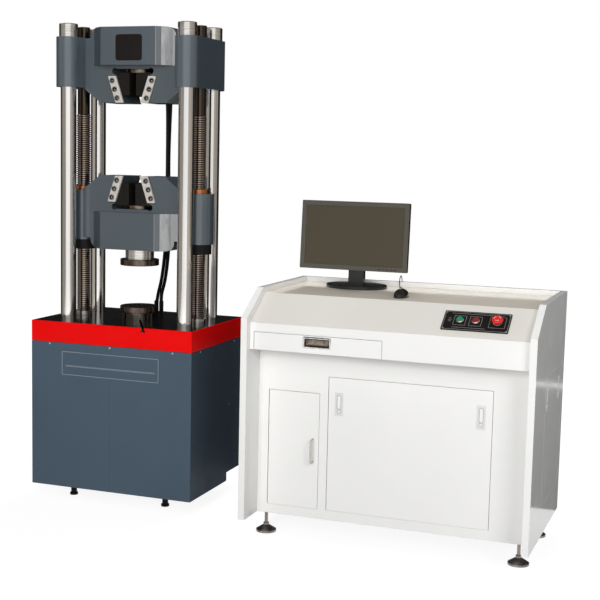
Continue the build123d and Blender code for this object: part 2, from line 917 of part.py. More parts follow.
# Places on the console, from the left cheek's outer face and the front
drawer_mid = drawer_left + drawer_width / 2
drawer_top = band_bottom + drawer_height
door_mid = door_left + door_width / 2
door_top = door_bottom + door_height
pump_width = console_width - pump_left - pump_right
pump_mid = pump_left + pump_width / 2
plate_x = console_width - plate_right
green_x = console_width - green_right
red_x = console_width - red_right
stop_x = console_width - stop_right
pump_top = pump_bottom + pump_height
lock_z = pump_top - lock_top_inset - lock_height / 2
lock_left_x = pump_left + lock_inset_x
lock_right_x = pump_left + pump_width - lock_inset_x
slope_angle = degrees(atan((deck_z - band_top) / (slope_end - band_recess)))
cord_z = deck_z + cord_dia / 2 + slip

with BuildPart() as lower_panel:
    with BuildSketch(console_facing(panel_recess + panel_thk)):
        with Locations((inner_mid, (cheek_bottom + band_bottom) / 2)):
            Rectangle(inner_width, band_bottom - cheek_bottom)
        with Locations((door_mid, (door_bottom + door_top) / 2)):
            Rectangle(door_width, door_height, mode=Mode.SUBTRACT)
        with Locations((pump_mid, (pump_bottom + pump_top) / 2)):
            Rectangle(pump_width, pump_height, mode=Mode.SUBTRACT)
    extrude(amount=panel_thk)
    with BuildSketch(console_level(door_bottom - door_pin - slip)):
        with Locations((door_left + panel_gap + door_pin_inset, panel_recess + door_pin_inset)):
            Circle(door_pin_dia / 2 + slip)
    extrude(amount=door_height + 2 * (door_pin + slip), mode=Mode.SUBTRACT)

# Floor and back of the console, joined as one welded carcass
with BuildPart() as console_carcass:
    with BuildSketch(console_level(cheek_bottom)):
        with Locations((inner_mid, (panel_recess + panel_thk + console_depth) / 2)):
            Rectangle(inner_width, console_depth - panel_recess - panel_thk)
    extrude(amount=floor_thk)
    with BuildSketch(console_level(cheek_bottom)):
        with Locations((inner_mid, console_depth - back_thk / 2)):
            Rectangle(inner_width, back_thk)
    extrude(amount=rim_top - cheek_bottom)
    with BuildSketch(console_facing(inner_back)):
        with Locations((cable_hole_x, deck_z - cable_hole_drop)):
            Circle(cable_hole_dia / 2)
    extrude(amount=-back_thk, mode=Mode.SUBTRACT)

# Upper band with the drawer's opening, its floor and side guides
with BuildPart() as drawer_housing:
    with BuildSketch(console_facing(band_recess + drawer_front_thk)):
        with Locations((inner_mid, (band_bottom + band_top) / 2)):
            Rectangle(inner_width, band_top - band_bottom)
        with Locations((drawer_mid, (band_bottom + drawer_top) / 2)):
            Rectangle(drawer_width, drawer_height, mode=Mode.SUBTRACT)
    extrude(amount=drawer_front_thk)
    housing_back = band_recess + drawer_front_thk + drawer_length + drawer_stop
    with BuildSketch(console_level(band_bottom)):
        with Locations((inner_mid, (band_recess + drawer_front_thk + housing_back) / 2)):
            Rectangle(inner_width, housing_back - band_recess - drawer_front_thk)
    extrude(amount=skin)
    with BuildSketch(console_level(band_bottom)):
        with Locations((drawer_mid, (band_recess + drawer_front_thk + housing_back) / 2)):
            with GridLocations(drawer_width - 2 * drawer_side_gap + 2 * skin, 0, 2, 1):
                Rectangle(skin, housing_back - band_recess - drawer_front_thk)
    extrude(amount=skin + drawer_box_height)


def slope_plane(up):
    """The slope's own plane, from its front edge at the left cheek: x across, y up the slope."""
    tilt = radians(slope_angle)
    return Plane(
        origin=(console_left, console_front + band_recess + up * cos(tilt), band_top + up * sin(tilt)),
        x_dir=(1, 0, 0),
        z_dir=(0, -sin(tilt), cos(tilt)),
    )


button_places = [(green_x, 0), (red_x, 0), (stop_x, 0)]
press_axis = Axis((0, 0, 0), slope_plane(0).z_dir)

# Bent top sheet: the slope and the level deck behind it
with BuildPart() as console_top:
    with BuildSketch(console_side(cheek_thk)):
        tilt = radians(slope_angle)
        with BuildLine():
            Polyline(
                (band_recess, band_top),
                (slope_end, deck_z),
                (inner_back, deck_z),
                (inner_back, deck_z - skin),
                (slope_end + skin * tan(tilt / 2), deck_z - skin),
                (band_recess + skin / sin(tilt), band_top),
                close=True,
            )
        make_face()
    extrude(amount=inner_width)
    with BuildSketch(slope_plane(button_up)):
        with Locations(*button_places):
            Circle(button_dia / 2 + slip)
    extrude(amount=-button_in, mode=Mode.SUBTRACT)

with BuildPart() as control_plate:
    with BuildSketch(slope_plane(plate_up)):
        with Locations((plate_x, 0)):
            RectangleRounded(plate_width, plate_height, plate_corner)
        with Locations(*[(x, button_up - plate_up) for x, _ in button_places]):
            Circle(button_dia / 2 + slip, mode=Mode.SUBTRACT)
    extrude(amount=plate_thk)


def push_button(x):
    """A round push button through the plate and the slope."""
    with BuildPart() as button:
        with BuildSketch(slope_plane(button_up).offset(-button_in)):
            with Locations((x, 0)):
                Circle(button_dia / 2)
        extrude(amount=button_in + plate_thk + button_out)
        chamfer(button.faces().sort_by(press_axis).last.edges(), button_edge)
    return button.part


green_button = push_button(green_x)
red_button = push_button(red_x)

with BuildPart() as emergency_stop:
    with BuildSketch(slope_plane(button_up).offset(-button_in)):
        with Locations((stop_x, 0)):
            Circle(button_dia / 2)
    extrude(amount=button_in + plate_thk + mushroom_lift)
    with BuildSketch(slope_plane(button_up).offset(plate_thk + mushroom_lift)):
        with Locations((stop_x, 0)):
            Circle(mushroom_dia / 2)
    extrude(amount=mushroom_thk)
    mushroom_rim = emergency_stop.faces().filter_by(GeomType.PLANE).sort_by(press_axis).last.edges()
    fillet(mushroom_rim, mushroom_edge)

# Levelling feet under both units
with BuildPart() as levelling_feet:
    with BuildSketch(frame_level(0)):
        with GridLocations(foot_pitch_x, foot_pitch_y, 2, 2):
            Circle(foot_dia / 2)
    extrude(amount=foot_height)
    with BuildSketch(frame_level(foot_height)):
        with GridLocations(foot_pitch_x, foot_pitch_y, 2, 2):
            Circle(foot_stem_dia / 2)
    extrude(amount=base_clear - foot_height)
    foot_mid = (console_left + inner_mid, console_front + console_depth / 2)
    foot_half_x = console_width / 2 - console_foot_inset_x
    foot_half_y = console_depth / 2 - console_foot_inset_y
    for foot_x in (foot_mid[0] - foot_half_x, foot_mid[0] + foot_half_x):
        for foot_y in (foot_mid[1] - foot_half_y, foot_mid[1] + foot_half_y):
            with BuildSketch(Plane(origin=(foot_x, foot_y, 0), x_dir=(1, 0, 0), z_dir=(0, -1, 0))):
                with BuildLine():
                    Polyline(
                        (0, 0),
                        (console_foot_dia / 2, 0),
                        (console_foot_dia / 2, console_foot_rim),
                        (console_foot_neck_dia / 2, console_foot_height - console_foot_rim),
                        (console_foot_neck_dia / 2, console_foot_height),
                        (console_foot_stem_dia / 2, console_foot_height),
                        (console_foot_stem_dia / 2, cheek_bottom),
                        (0, cheek_bottom),
                        close=True,
                    )
                make_face()
            revolve(axis=Axis((foot_x, foot_y, 0), (0, 0, 1)))

# Drawer, hung between the guides
with BuildPart() as drawer:
    front_width = drawer_width - 2 * panel_gap
    box_width = drawer_width - 2 * drawer_side_gap + skin - 2 * slip
    box_bottom = band_bottom + skin + slip
    with BuildSketch(console_facing(band_recess + drawer_front_thk)):
        with Locations((drawer_mid, (band_bottom + drawer_top - panel_gap) / 2)):
            Rectangle(front_width, drawer_height - panel_gap)
    extrude(amount=drawer_front_thk)
    chamfer(drawer.faces().sort_by(Axis.Y)[0].edges(), panel_edge)
    with BuildSketch(console_level(box_bottom)):
        with Locations((drawer_mid, band_recess + drawer_front_thk + drawer_length / 2)):
            Rectangle(box_width, drawer_length)
    extrude(amount=drawer_box_height - slip)
    with BuildSketch(console_level(box_bottom + drawer_wall)):
        with Locations((drawer_mid, band_recess + drawer_front_thk + drawer_length / 2)):
            Rectangle(box_width - 2 * drawer_wall, drawer_length - 2 * drawer_wall)
    extrude(amount=drawer_box_height, mode=Mode.SUBTRACT)
    with BuildSketch(console_facing(band_recess)):
        with Locations((drawer_mid, drawer_top - panel_gap - pull_wall - pull_height / 2)):
            Rectangle(pull_width - 2 * pull_wall, pull_height - 2 * pull_wall)
    extrude(amount=-pull_depth, mode=Mode.SUBTRACT)

# Flush pull: a frame round a shallow cup
with BuildPart() as drawer_pull:
    pull_z = drawer_top - panel_gap - pull_wall - pull_height / 2
    with BuildSketch(console_facing(band_recess)):
        with Locations((drawer_mid, pull_z)):
            Rectangle(pull_width, pull_height)
            Rectangle(pull_width - 4 * pull_wall, pull_height - 4 * pull_wall, mode=Mode.SUBTRACT)
    extrude(amount=pull_thk)
    with BuildSketch(console_facing(band_recess)):
        with Locations((drawer_mid, pull_z)):
            Rectangle(pull_width - 2 * pull_wall - 2 * slip, pull_height - 2 * pull_wall - 2 * slip)
            Rectangle(pull_width - 4 * pull_wall, pull_height - 4 * pull_wall, mode=Mode.SUBTRACT)
    extrude(amount=-pull_depth + pull_thk)

# Storage door on two pivot pins, and its bow handle
with BuildPart() as storage_door:
    with BuildSketch(console_level(door_bottom + slip)) as door_plan:
        with Locations((door_mid, panel_recess + panel_thk / 2)):
            Rectangle(door_width - 2 * panel_gap, panel_thk)
        front_corner = door_plan.vertices().group_by(Axis.X)[0].sort_by(Axis.Y)[0]
        fillet(front_corner, door_edge)
    extrude(amount=door_height - slip - panel_gap)
    chamfer(storage_door.faces().sort_by(Axis.Y)[0].edges().filter_by(Axis.X), panel_edge)
    chamfer(storage_door.faces().sort_by(Axis.Y)[0].edges().sort_by(Axis.X)[-1], panel_edge)
    with BuildSketch(console_level(door_bottom - door_pin)):
        with Locations((door_left + panel_gap + door_pin_inset, panel_recess + door_pin_inset)):
            Circle(door_pin_dia / 2)
    extrude(amount=door_height + 2 * door_pin)

with BuildPart() as door_handle:
    handle_x = door_left + door_width - panel_gap - handle_inset
    handle_face = console_front + panel_recess
    with BuildLine() as bow:
        FilletPolyline(
            (console_left + handle_x, handle_face, handle_z - handle_length / 2),
            (console_left + handle_x, handle_face - handle_out, handle_z - handle_length / 2),
            (console_left + handle_x, handle_face - handle_out, handle_z + handle_length / 2),
            (console_left + handle_x, handle_face, handle_z + handle_length / 2),
            radius=handle_bend,
        )
    with BuildSketch(Plane(origin=bow.line @ 0, z_dir=bow.line % 0)):
        Circle(handle_dia / 2)
    sweep(path=bow.wires()[0])

# Pump panel with recesses for its paddle locks
lock_axis_z = lock_z + lock_height / 2 - lock_thk / 2
with BuildPart() as pump_panel:
    with BuildSketch(console_facing(panel_recess + panel_thk)):
        with Locations((pump_mid, (pump_bottom + slip + pump_top - panel_gap) / 2)):
            Rectangle(pump_width - 2 * panel_gap, pump_height - slip - panel_gap)
    extrude(amount=panel_thk)
    chamfer(pump_panel.faces().sort_by(Axis.Y)[0].edges(), panel_edge)
    with BuildSketch(console_facing(panel_recess)):
        with Locations((lock_left_x, lock_z), (lock_right_x, lock_z)):
            Rectangle(lock_width + 2 * slip, lock_height + 2 * slip)
    extrude(amount=-lock_recess, mode=Mode.SUBTRACT)
    for lock_x in (lock_left_x, lock_right_x):
        with BuildSketch(console_side(lock_x - lock_width / 2 - lock_pin - slip)):
            with Locations((panel_recess + lock_thk / 2, lock_axis_z)):
                Circle(lock_pin_dia / 2 + slip)
        extrude(amount=lock_width + 2 * (lock_pin + slip), mode=Mode.SUBTRACT)


def lock_paddle(x):
    """A flush paddle that swings out on side pins at its rounded top edge."""
    with BuildPart() as paddle:
        with BuildSketch(console_side(x - lock_width / 2)) as section:
            with Locations((panel_recess + lock_thk / 2, lock_z)):
                Rectangle(lock_thk, lock_height)
            fillet(section.vertices().group_by(Axis.Y)[-1], lock_thk / 2 - slip)
        extrude(amount=lock_width)
        with BuildSketch(console_side(x - lock_width / 2 - lock_pin)):
            with Locations((panel_recess + lock_thk / 2, lock_axis_z)):
                Circle(lock_pin_dia / 2)
        extrude(amount=lock_width + 2 * lock_pin)
    return paddle.part


left_lock = lock_paddle(lock_left_x)
right_lock = lock_paddle(lock_right_x)

# Power pack behind the pump panel
tank_bottom = cheek_bottom + floor_thk
tank_front = panel_recess + panel_thk + tank_front_gap
tank_depth = inner_back - tank_back_gap - tank_front
tank_y = tank_front + tank_depth / 2
with BuildPart() as oil_tank:
    with BuildSketch(console_level(tank_bottom)):
        with Locations((pump_mid, tank_y)):
            Rectangle(tank_width, tank_depth)
    extrude(amount=tank_height)
    fillet(oil_tank.edges().filter_by(Axis.Z), tank_corner)

with BuildPart() as pump_motor:
    with BuildSketch(console_level(tank_bottom + tank_height)):
        with Locations((pump_mid, tank_y)):
            Circle(pump_motor_dia / 2)
    extrude(amount=pump_motor_length)

# Monitor stand: an oval base and a flat neck
neck_y = inner_back - stand_gap - stand_depth / 2
back_y = neck_y - neck_depth / 2 - neck_gap
monitor_y = back_y - monitor_back_thk - monitor_thk
with BuildPart() as monitor_stand:
    with BuildSketch(console_level(deck_z)):
        with Locations((monitor_x, neck_y)):
            Ellipse(stand_length / 2, stand_depth / 2)
    extrude(amount=stand_thk)
    fillet(monitor_stand.faces().sort_by(Axis.Z)[-1].edges(), stand_edge)
    with BuildSketch(console_level(deck_z + stand_thk)):
        with Locations((monitor_x, neck_y)):
            Rectangle(neck_width, neck_depth)
    extrude(amount=tilt_z + neck_over - deck_z - stand_thk)
    fillet(monitor_stand.edges().filter_by(Axis.X).group_by(Axis.Z)[-1], neck_depth / 2 - slip)
    with BuildSketch(console_side(monitor_x - neck_width / 2)):
        with Locations((neck_y, tilt_z)):
            Circle(tilt_pin_dia / 2 + slip)
    extrude(amount=neck_width, mode=Mode.SUBTRACT)

# Monitor, leaning back about its tilt pin
tilt_axis = Axis((console_left + monitor_x, console_front + neck_y, tilt_z), (1, 0, 0))
with BuildPart() as monitor_head:
    with BuildSketch(console_facing(monitor_y + monitor_thk)):
        with Locations((monitor_x, monitor_z)):
            RectangleRounded(monitor_width, monitor_height, monitor_edge)
    extrude(amount=monitor_thk)
    with BuildSketch(console_facing(monitor_y)):
        with Locations((monitor_x, monitor_z)):
            Rectangle(monitor_width - 2 * screen_margin, monitor_height - 2 * screen_margin)
    extrude(amount=-screen_depth, mode=Mode.SUBTRACT)
    with BuildSketch(console_facing(monitor_y + monitor_thk)):
        with Locations((monitor_x, tilt_z)):
            RectangleRounded(monitor_back_width, monitor_back_height, monitor_edge)
    extrude(amount=-monitor_back_thk)
    for lug_x in (monitor_x - neck_width / 2 - slip - lug_thk, monitor_x + neck_width / 2 + slip):
        with BuildSketch(console_side(lug_x)):
            with Locations(((back_y + neck_y) / 2, tilt_z)):
                Rectangle(neck_y - back_y, lug_height)
            with Locations((neck_y, tilt_z)):
                Circle(lug_height / 2)
        extrude(amount=lug_thk)
    with BuildSketch(console_side(monitor_x - neck_width / 2 - slip)):
        with Locations((neck_y, tilt_z)):
            Circle(tilt_pin_dia / 2)
    extrude(amount=neck_width + 2 * slip)
monitor_part = monitor_head.part.rotate(tilt_axis, -monitor_tilt)

# Mouse and its cord, across the deck and over the rim to the cable hole in the back
with BuildPart() as mouse:
    with BuildSketch(console_level(deck_z)):
        with Locations((mouse_x, mouse_y)):
            Ellipse(mouse_width / 2, mouse_length / 2)
    extrude(amount=mouse_height)
    fillet(mouse.faces().sort_by(Axis.Z)[-1].edges(), mouse_edge)

mouse_back = mouse_y + mouse_length / 2
cable_z = deck_z - cable_hole_drop
cord_route = [
    (mouse_x, mouse_back, cord_z),
    (mouse_x, mouse_back + 26, cord_z),
    (mouse_x - 10, mouse_back + 78, cord_z),
    (mouse_x - 32, mouse_back + 140, cord_z),
    (mouse_x - 62, mouse_back + 206, cord_z),
    (mouse_x - 90, mouse_back + 262, cord_z),
    (cable_hole_x + 4, inner_back - 24, cord_z + 1),
    (cable_hole_x + 1, inner_back - 10, rim_top - 4),
    (cable_hole_x, inner_back - 2, rim_top + 16),
    (cable_hole_x, inner_back + 12, rim_top + 25),
    (cable_hole_x, inner_back + 27, rim_top + 16),
    (cable_hole_x, inner_back + 34, rim_top - 5),
    (cable_hole_x, inner_back + 35, cable_z + 26),
    (cable_hole_x, inner_back + 34, cable_z),
    (cable_hole_x, inner_back + back_thk / 2, cable_z),
]
with BuildPart() as mouse_cord:
    with BuildLine() as cord_run:
        cord_points = [(console_left + x, console_front + y, z) for x, y, z in cord_route]
        cord_line, cord_radii = cord_path(cord_points)
    with BuildSketch(Plane(origin=cord_line @ 0, z_dir=cord_line % 0)):
        Circle(cord_dia / 2)
    sweep(path=cord_run.wires()[0])
print("cord length", round(cord_line.length), "radii", [round(radius) for radius in cord_radii])

pieces = {
    "base_frame": base_frame.part,
    "levelling_feet": levelling_feet.part,
    "front_cover": front_cover.part,
    "rear_cover": rear_cover.part,
    "left_cover": left_cover.part,
    "right_cover": right_cover.part,
    "ram_cylinder": ram_cylinder.part,
    "ram_piston": ram_piston.part,
    "worktable": worktable.part,
    "screw_collars": screw_collars.part,
    "columns": columns.part,
    "column_nuts": column_nuts.part,
    "upper_crosshead": upper_crosshead.part,
    "middle_crosshead": middle_crosshead.part,
    "screw_nuts": screw_nuts.part,
    "nut_wipers": nut_wipers.part,
    "upper_left_jaw": upper_left_jaw,
    "upper_right_jaw": upper_right_jaw,
    "lower_left_jaw": lower_left_jaw,
    "lower_right_jaw": lower_right_jaw,
    "upper_push_plate": upper_push_plate,
    "lower_push_plate": lower_push_plate,
    "upper_jaw_strips": upper_jaw_strips,
    "lower_jaw_strips": lower_jaw_strips,
    "platen_stem": platen_stem.part,
    "upper_platen": upper_platen.part,
    "lower_platen_base": lower_platen_base.part,
    "lower_platen": lower_platen.part,
    "left_screw": left_screw,
    "right_screw": right_screw,
    "drive_motor": drive_motor.part,
    "motor_sprocket": motor_sprocket.part,
    "drive_chain": drive_chain.part,
    "left_hose": left_hose,
    "right_hose": right_hose,
    "hose_fittings": hose_fittings.part,
    "left_cheek": left_cheek.part,
    "right_cheek": right_cheek.part,
    "side_panel": side_panel.part,
    "lower_panel": lower_panel.part,
    "console_carcass": console_carcass.part,
    "drawer_housing": drawer_housing.part,
    "console_top": console_top.part,
    "control_plate": control_plate.part,
    "green_button": green_button,
    "red_button": red_button,
    "emergency_stop": emergency_stop.part,
    "drawer": drawer.part,
    "drawer_pull": drawer_pull.part,
    "storage_door": storage_door.part,
    "door_handle": door_handle.part,
    "pump_panel": pump_panel.part,
    "left_lock": left_lock,
    "right_lock": right_lock,
    "oil_tank": oil_tank.part,
    "pump_motor": pump_motor.part,
    "monitor_stand": monitor_stand.part,
    "monitor_head": monitor_part,
    "mouse": mouse.part,
    "mouse_cord": mouse_cord.part,
}
for name, piece in pieces.items():
    piece.label = name
    export_step(piece, f"parts/{name}.step")
print(len(pieces), "nodes")
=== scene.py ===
"""Looks of the universal testing machine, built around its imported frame. Lengths are in millimetres
until they are placed, and in metres in the scene."""
import json
from math import atan2, ceil, cos, pi, radians, sin, sqrt

import bmesh
import bpy
from mathutils import Matrix, Vector


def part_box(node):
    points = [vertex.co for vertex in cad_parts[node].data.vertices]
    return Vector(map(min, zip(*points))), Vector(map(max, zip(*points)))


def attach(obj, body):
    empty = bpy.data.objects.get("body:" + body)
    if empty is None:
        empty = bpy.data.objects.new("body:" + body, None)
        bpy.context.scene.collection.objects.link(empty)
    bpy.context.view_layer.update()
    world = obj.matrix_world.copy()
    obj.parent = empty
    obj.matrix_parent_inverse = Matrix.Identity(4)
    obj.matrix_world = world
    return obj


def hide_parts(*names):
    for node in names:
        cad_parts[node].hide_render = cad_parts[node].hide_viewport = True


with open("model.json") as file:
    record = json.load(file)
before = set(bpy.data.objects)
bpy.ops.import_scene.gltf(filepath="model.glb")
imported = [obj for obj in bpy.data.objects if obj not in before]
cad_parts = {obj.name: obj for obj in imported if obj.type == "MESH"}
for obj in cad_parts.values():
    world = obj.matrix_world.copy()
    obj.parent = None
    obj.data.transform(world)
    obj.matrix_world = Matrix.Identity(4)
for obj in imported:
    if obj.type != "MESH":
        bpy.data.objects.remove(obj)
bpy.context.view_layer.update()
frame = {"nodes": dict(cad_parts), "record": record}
nodes = frame["nodes"]
scene = bpy.context.scene
scene.view_settings.view_transform = "Standard"

# Places of the two units
table_low, table_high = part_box("worktable")
AX, AY = [500 * (table_low[i] + table_high[i]) for i in (0, 1)]
CX, CY = [1000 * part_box("left_cheek")[0][i] for i in (0, 1)]
UP, FRONT, RIGHT, BACK, LEFT, DOWN = (
    Vector(v) for v in ((0, 0, 1), (0, -1, 0), (1, 0, 0), (0, 1, 0), (-1, 0, 0), (0, 0, -1)))
SLOPE = atan2(98.5, 144)

# Faces of the load frame, from its axis
COVER_FRONT, COVER_SIDE, BEAM_FACE, NOSE_FACE = 258, 366.5, 73, 117
# Faces of the console, from its left front corner, and the foot of its slope
BAND_Y, PANEL_Y, CHEEK_X, SLOPE_FOOT = 31, 134, 1100, 831.5


def at_frame(x, y, z):
    return Vector((AX + x, AY + y, z)) / 1000


def at_console(x, y, z):
    return Vector((CX + x, CY + y, z)) / 1000


def at_slope(x, up, out=0.0):
    """A point on the console's slope, from its left edge, its foot and its surface."""
    y, z = up * cos(SLOPE) - out * sin(SLOPE), up * sin(SLOPE) + out * cos(SLOPE)
    return at_console(x, BAND_Y + y, SLOPE_FOOT + z)


def facing(origin, out, up=UP):
    """A place in millimetres: its z axis points out of the surface, its y axis up along it."""
    out = out.normalized()
    side = up.cross(out).normalized()
    turn = Matrix((side, out.cross(side), out)).transposed().to_4x4()
    return Matrix.Translation(origin) @ turn @ Matrix.Scale(0.001, 4)


# Camera
def place_camera():
    heading = Vector((-0.342, 0.940, 0)).normalized()
    side = Vector((heading.y, -heading.x, 0))
    pitch, roll = 0.1191, 0.0223
    ahead = heading * cos(pitch) - UP * sin(pitch)
    above = heading * sin(pitch) + UP * cos(pitch)
    x_axis = side * cos(roll) + above * sin(roll)
    y_axis = above * cos(roll) - side * sin(roll)
    data = bpy.data.cameras.new("camera")
    data.lens, data.sensor_width, data.sensor_fit = 74.35, 36.0, "HORIZONTAL"
    data.clip_end = 100
    camera = bpy.data.objects.new("camera", data)
    turn = Matrix((x_axis, y_axis, -ahead)).transposed().to_4x4()
    camera.matrix_world = Matrix.Translation((1.7303, -4.5768, 1.4676)) @ turn
    scene.collection.objects.link(camera)
    scene.camera = camera


place_camera()


# Materials
class Finish:
    """A procedural material: colour, roughness and relief vary by the place on the object."""

    def __init__(self, name, **values):
        self.material = bpy.data.materials.new(name)
        self.material.use_nodes = True
        self.tree = self.material.node_tree
        self.shader = self.tree.nodes["Principled BSDF"]
        self.place = self.node("TexCoord").outputs["Object"]
        self.colour = None
        for socket, value in values.items():
            self.shader.inputs[socket.replace("_", " ")].default_value = value

    def node(self, kind, **socket_glints):
        made = self.tree.nodes.new("ShaderNode" + kind)
        for name, value in socket_glints.items():
            made.inputs[name.replace("_", " ")].default_value = value
        return made

    def join(self, source, target):
        self.tree.links.new(source, target)

    def noise(self, scale, detail=3.0, stretch=(1, 1, 1), distortion=0.0):
        mapping = self.node("Mapping", Scale=stretch)
        noise = self.node("TexNoise", Scale=scale, Detail=detail, Distortion=distortion)
        self.join(self.place, mapping.inputs["Vector"])
        self.join(mapping.outputs[0], noise.inputs["Vector"])
        return noise.outputs[0]

    def spread(self, value, low, high, start=0.3, stop=0.7):
        ramp = self.node("MapRange")
        for i, number in enumerate((start, stop, low, high)):
            ramp.inputs[i + 1].default_value = number
        self.join(value, ramp.inputs[0])
        return ramp.outputs[0]

    def sum(self, kind, a, b):
        made = self.tree.nodes.new("ShaderNodeMath")
        made.operation = kind
        for i, value in enumerate((a, b)):
            if isinstance(value, (int, float)):
                made.inputs[i].default_value = value
            else:
                self.join(value, made.inputs[i])
        return made.outputs[0]

    def axes(self):
        split = self.node("SeparateXYZ")
        self.join(self.place, split.inputs[0])
        return split.outputs

    def shades(self, mask, first, second):
        """Colours the surface from first to second along a mask, over what was there if first is None."""
        mix = self.tree.nodes.new("ShaderNodeMix")
        mix.data_type = "RGBA"
        self.join(mask, mix.inputs[0])
        if first is None:
            self.join(self.colour, mix.inputs[6])
        else:
            mix.inputs[6].default_value = (*first, 1)
        mix.inputs[7].default_value = (*second, 1)
        self.colour = mix.outputs[2]
        self.join(self.colour, self.shader.inputs["Base Color"])
        return self

    def gloss(self, mask, low, high):
        self.join(self.spread(mask, low, high), self.shader.inputs["Roughness"])
        return self

    def relief(self, height, depth, edge=0.0):
        """Fine relief, with edges that catch the light as if rounded by that radius in metres."""
        bump = self.node("Bump", Strength=1.0, Distance=depth)
        self.join(height, bump.inputs["Height"])
        if edge:
            bevel = self.node("Bevel", Radius=edge)
            bevel.samples = 4
            self.join(bevel.outputs[0], bump.inputs["Normal"])
        self.join(bump.outputs[0], self.shader.inputs["Normal"])
        return self


def tint(colour, amount):
    return tuple(min(1.0, c * amount) for c in colour)


def paint(name, colour, rough=(0.4, 0.5), vary=0.08, grain=260, depth=0.00003, edge=0.0012, **values):
    """Sprayed enamel with a light orange-peel and faint clouds of tone."""
    made = Finish(name, **values)
    made.shades(made.spread(made.noise(3.2, 4), 0, 1), tint(colour, 1 - vary), tint(colour, 1 + vary))
    made.gloss(made.noise(11, 3), *rough)
    return made.relief(made.noise(grain, 2), depth, edge)


def metal(name, dark, light, rough, scale, stretch, detail=4.0, depth=0.00001, edge=0.0006, fine=900):
    """Bare metal with streaks left by its machining; on the hard chrome the streaks are also a painted
    reflection.
    """
    made = Finish(name, Metallic=1.0)
    made.shades(made.spread(made.noise(scale, detail, stretch), 0, 1), dark, light)
    made.gloss(made.noise(scale * 2.3, 3, stretch), *rough)
    return made.relief(made.noise(fine, 2, stretch), depth, edge)


def band(made, axis, low, high, soft=0.0002):
    """A mask that is 1 between two places along an axis, in metres."""
    rise = made.spread(axis, 0, 1, low - soft, low + soft)
    fall = made.spread(axis, 1, 0, high - soft, high + soft)
    return made.sum("MULTIPLY", rise, fall)


casing = paint("casing_enamel", (0.070, 0.100, 0.134), (0.45, 0.58), 0.06, 320, Specular_IOR_Level=0.08)
# Painted shade: the side covers get a darker copy of the machine's enamel.
casing_painted_shade = paint("casing_painted_shade_enamel", (0.050, 0.072, 0.097), (0.45, 0.58), 0.06, 320,
                    Specular_IOR_Level=0.06)
cast = paint("casting_enamel", (0.054, 0.072, 0.086), (0.40, 0.50), 0.08, 120, 0.00008, 0.0025,
             Specular_IOR_Level=0.1, Coat_Weight=1.0, Coat_Roughness=0.17, Coat_IOR=1.85)
nose_x, nose_y, nose_z = cast.axes()[:3]


def on_plane(made, x, y, normal, half=0.0004):
    """A mask that is 1 on the upright plane through a point of the load frame's plan, in millimetres."""
    off_x = made.sum("MULTIPLY", made.sum("SUBTRACT", nose_x, (AX + x) / 1000), normal[0])
    off_y = made.sum("MULTIPLY", made.sum("SUBTRACT", nose_y, (AY + y) / 1000), normal[1])
    return made.spread(made.sum("ABSOLUTE", made.sum("ADD", off_x, off_y), 0), 1, 0, half, half * 1.5)


def across(low, high, soft=0.0002):
    """A mask that is 1 between two places across the load frame, in millimetres from its axis."""
    return band(cast, nose_x, (AX + low) / 1000, (AX + high) / 1000, soft)


def all_of(made, *masks):
    """A mask that is 1 where all the masks are."""
    total = masks[0]
    for mask in masks[1:]:
        total = made.sum("MULTIPLY", total, mask)
    return total


# Right side of both noses: a painted reflection, light and streaked, on the second flat and on over the
# casting's front beside it, painted shade on the bevel and a painted highlight along the front edge
reflection_streaks = cast.spread(cast.noise(60, 6, (1, 1, 0.25), 0.6), 0.72, 1.0, 0.35, 0.55)
facet_reflection = all_of(cast, on_plane(cast, 143, -104, (0.642, -0.767)), across(143.6, 179), reflection_streaks)
nose_heights = cast.sum("MAXIMUM", band(cast, nose_z, 1.803, 2.0), band(cast, nose_z, 1.0, 1.201))
beam_reflection = all_of(cast, across(179, 212), on_plane(cast, 0, -73, (0, -1)), nose_heights)
cast.shades(cast.sum("MAXIMUM", facet_reflection, beam_reflection), None, (0.34, 0.345, 0.35))
# Painted shade: the first bevel is coloured darker.
bevel = all_of(cast, on_plane(cast, 125, -117, (0.585, -0.811)), across(125.6, 143))
cast.shades(bevel, None, (0.056, 0.066, 0.076))
# Painted highlight: a light line along the nose's front edge.
nose_front = cast.spread(nose_y, 1, 0, (AY - 116.2) / 1000, (AY - 115.6) / 1000)
cast.shades(all_of(cast, across(123.4, 125.8, 0.0006), nose_front), None, (0.20, 0.21, 0.22))

table = paint("table_enamel", (0.006, 0.006, 0.006), (0.10, 0.2), 0.25, 90, 0.00002, Specular_IOR_Level=0.08)
side_x, side_y = table.axes()[:2]
from_x = table.sum("ABSOLUTE", table.sum("SUBTRACT", side_x, AX / 1000), 0)
from_y = table.sum("ABSOLUTE", table.sum("SUBTRACT", side_y, AY / 1000), 0)
outer = table.sum(
    "MAXIMUM", table.spread(from_x, 0, 1, 0.3649, 0.3651), table.spread(from_y, 0, 1, 0.2564, 0.2566))
table.shades(outer, None, (0.80, 0.002, 0.002))

dark_steel = paint("dark_enamel", (0.014, 0.014, 0.015), (0.45, 0.6), 0.2, 160, Specular_IOR_Level=0.25)
# The hard chrome's long streaks of tone are partly polish marks and partly a painted reflection of dark
# streaks.
chrome = metal("hard_chrome", (0.62, 0.61, 0.59), (0.97, 0.96, 0.94), (0.07, 0.14), 34, (1, 1, 0.012), 5)
bright = metal("bright_steel", (0.60, 0.58, 0.55), (0.90, 0.88, 0.85), (0.17, 0.27), 60, (0.25, 0.25, 8), 4)
screw_steel = metal("screw_steel", (0.30, 0.24, 0.20), (0.50, 0.42, 0.36), (0.10, 0.16), 30, (1, 1, 0.2), 4)
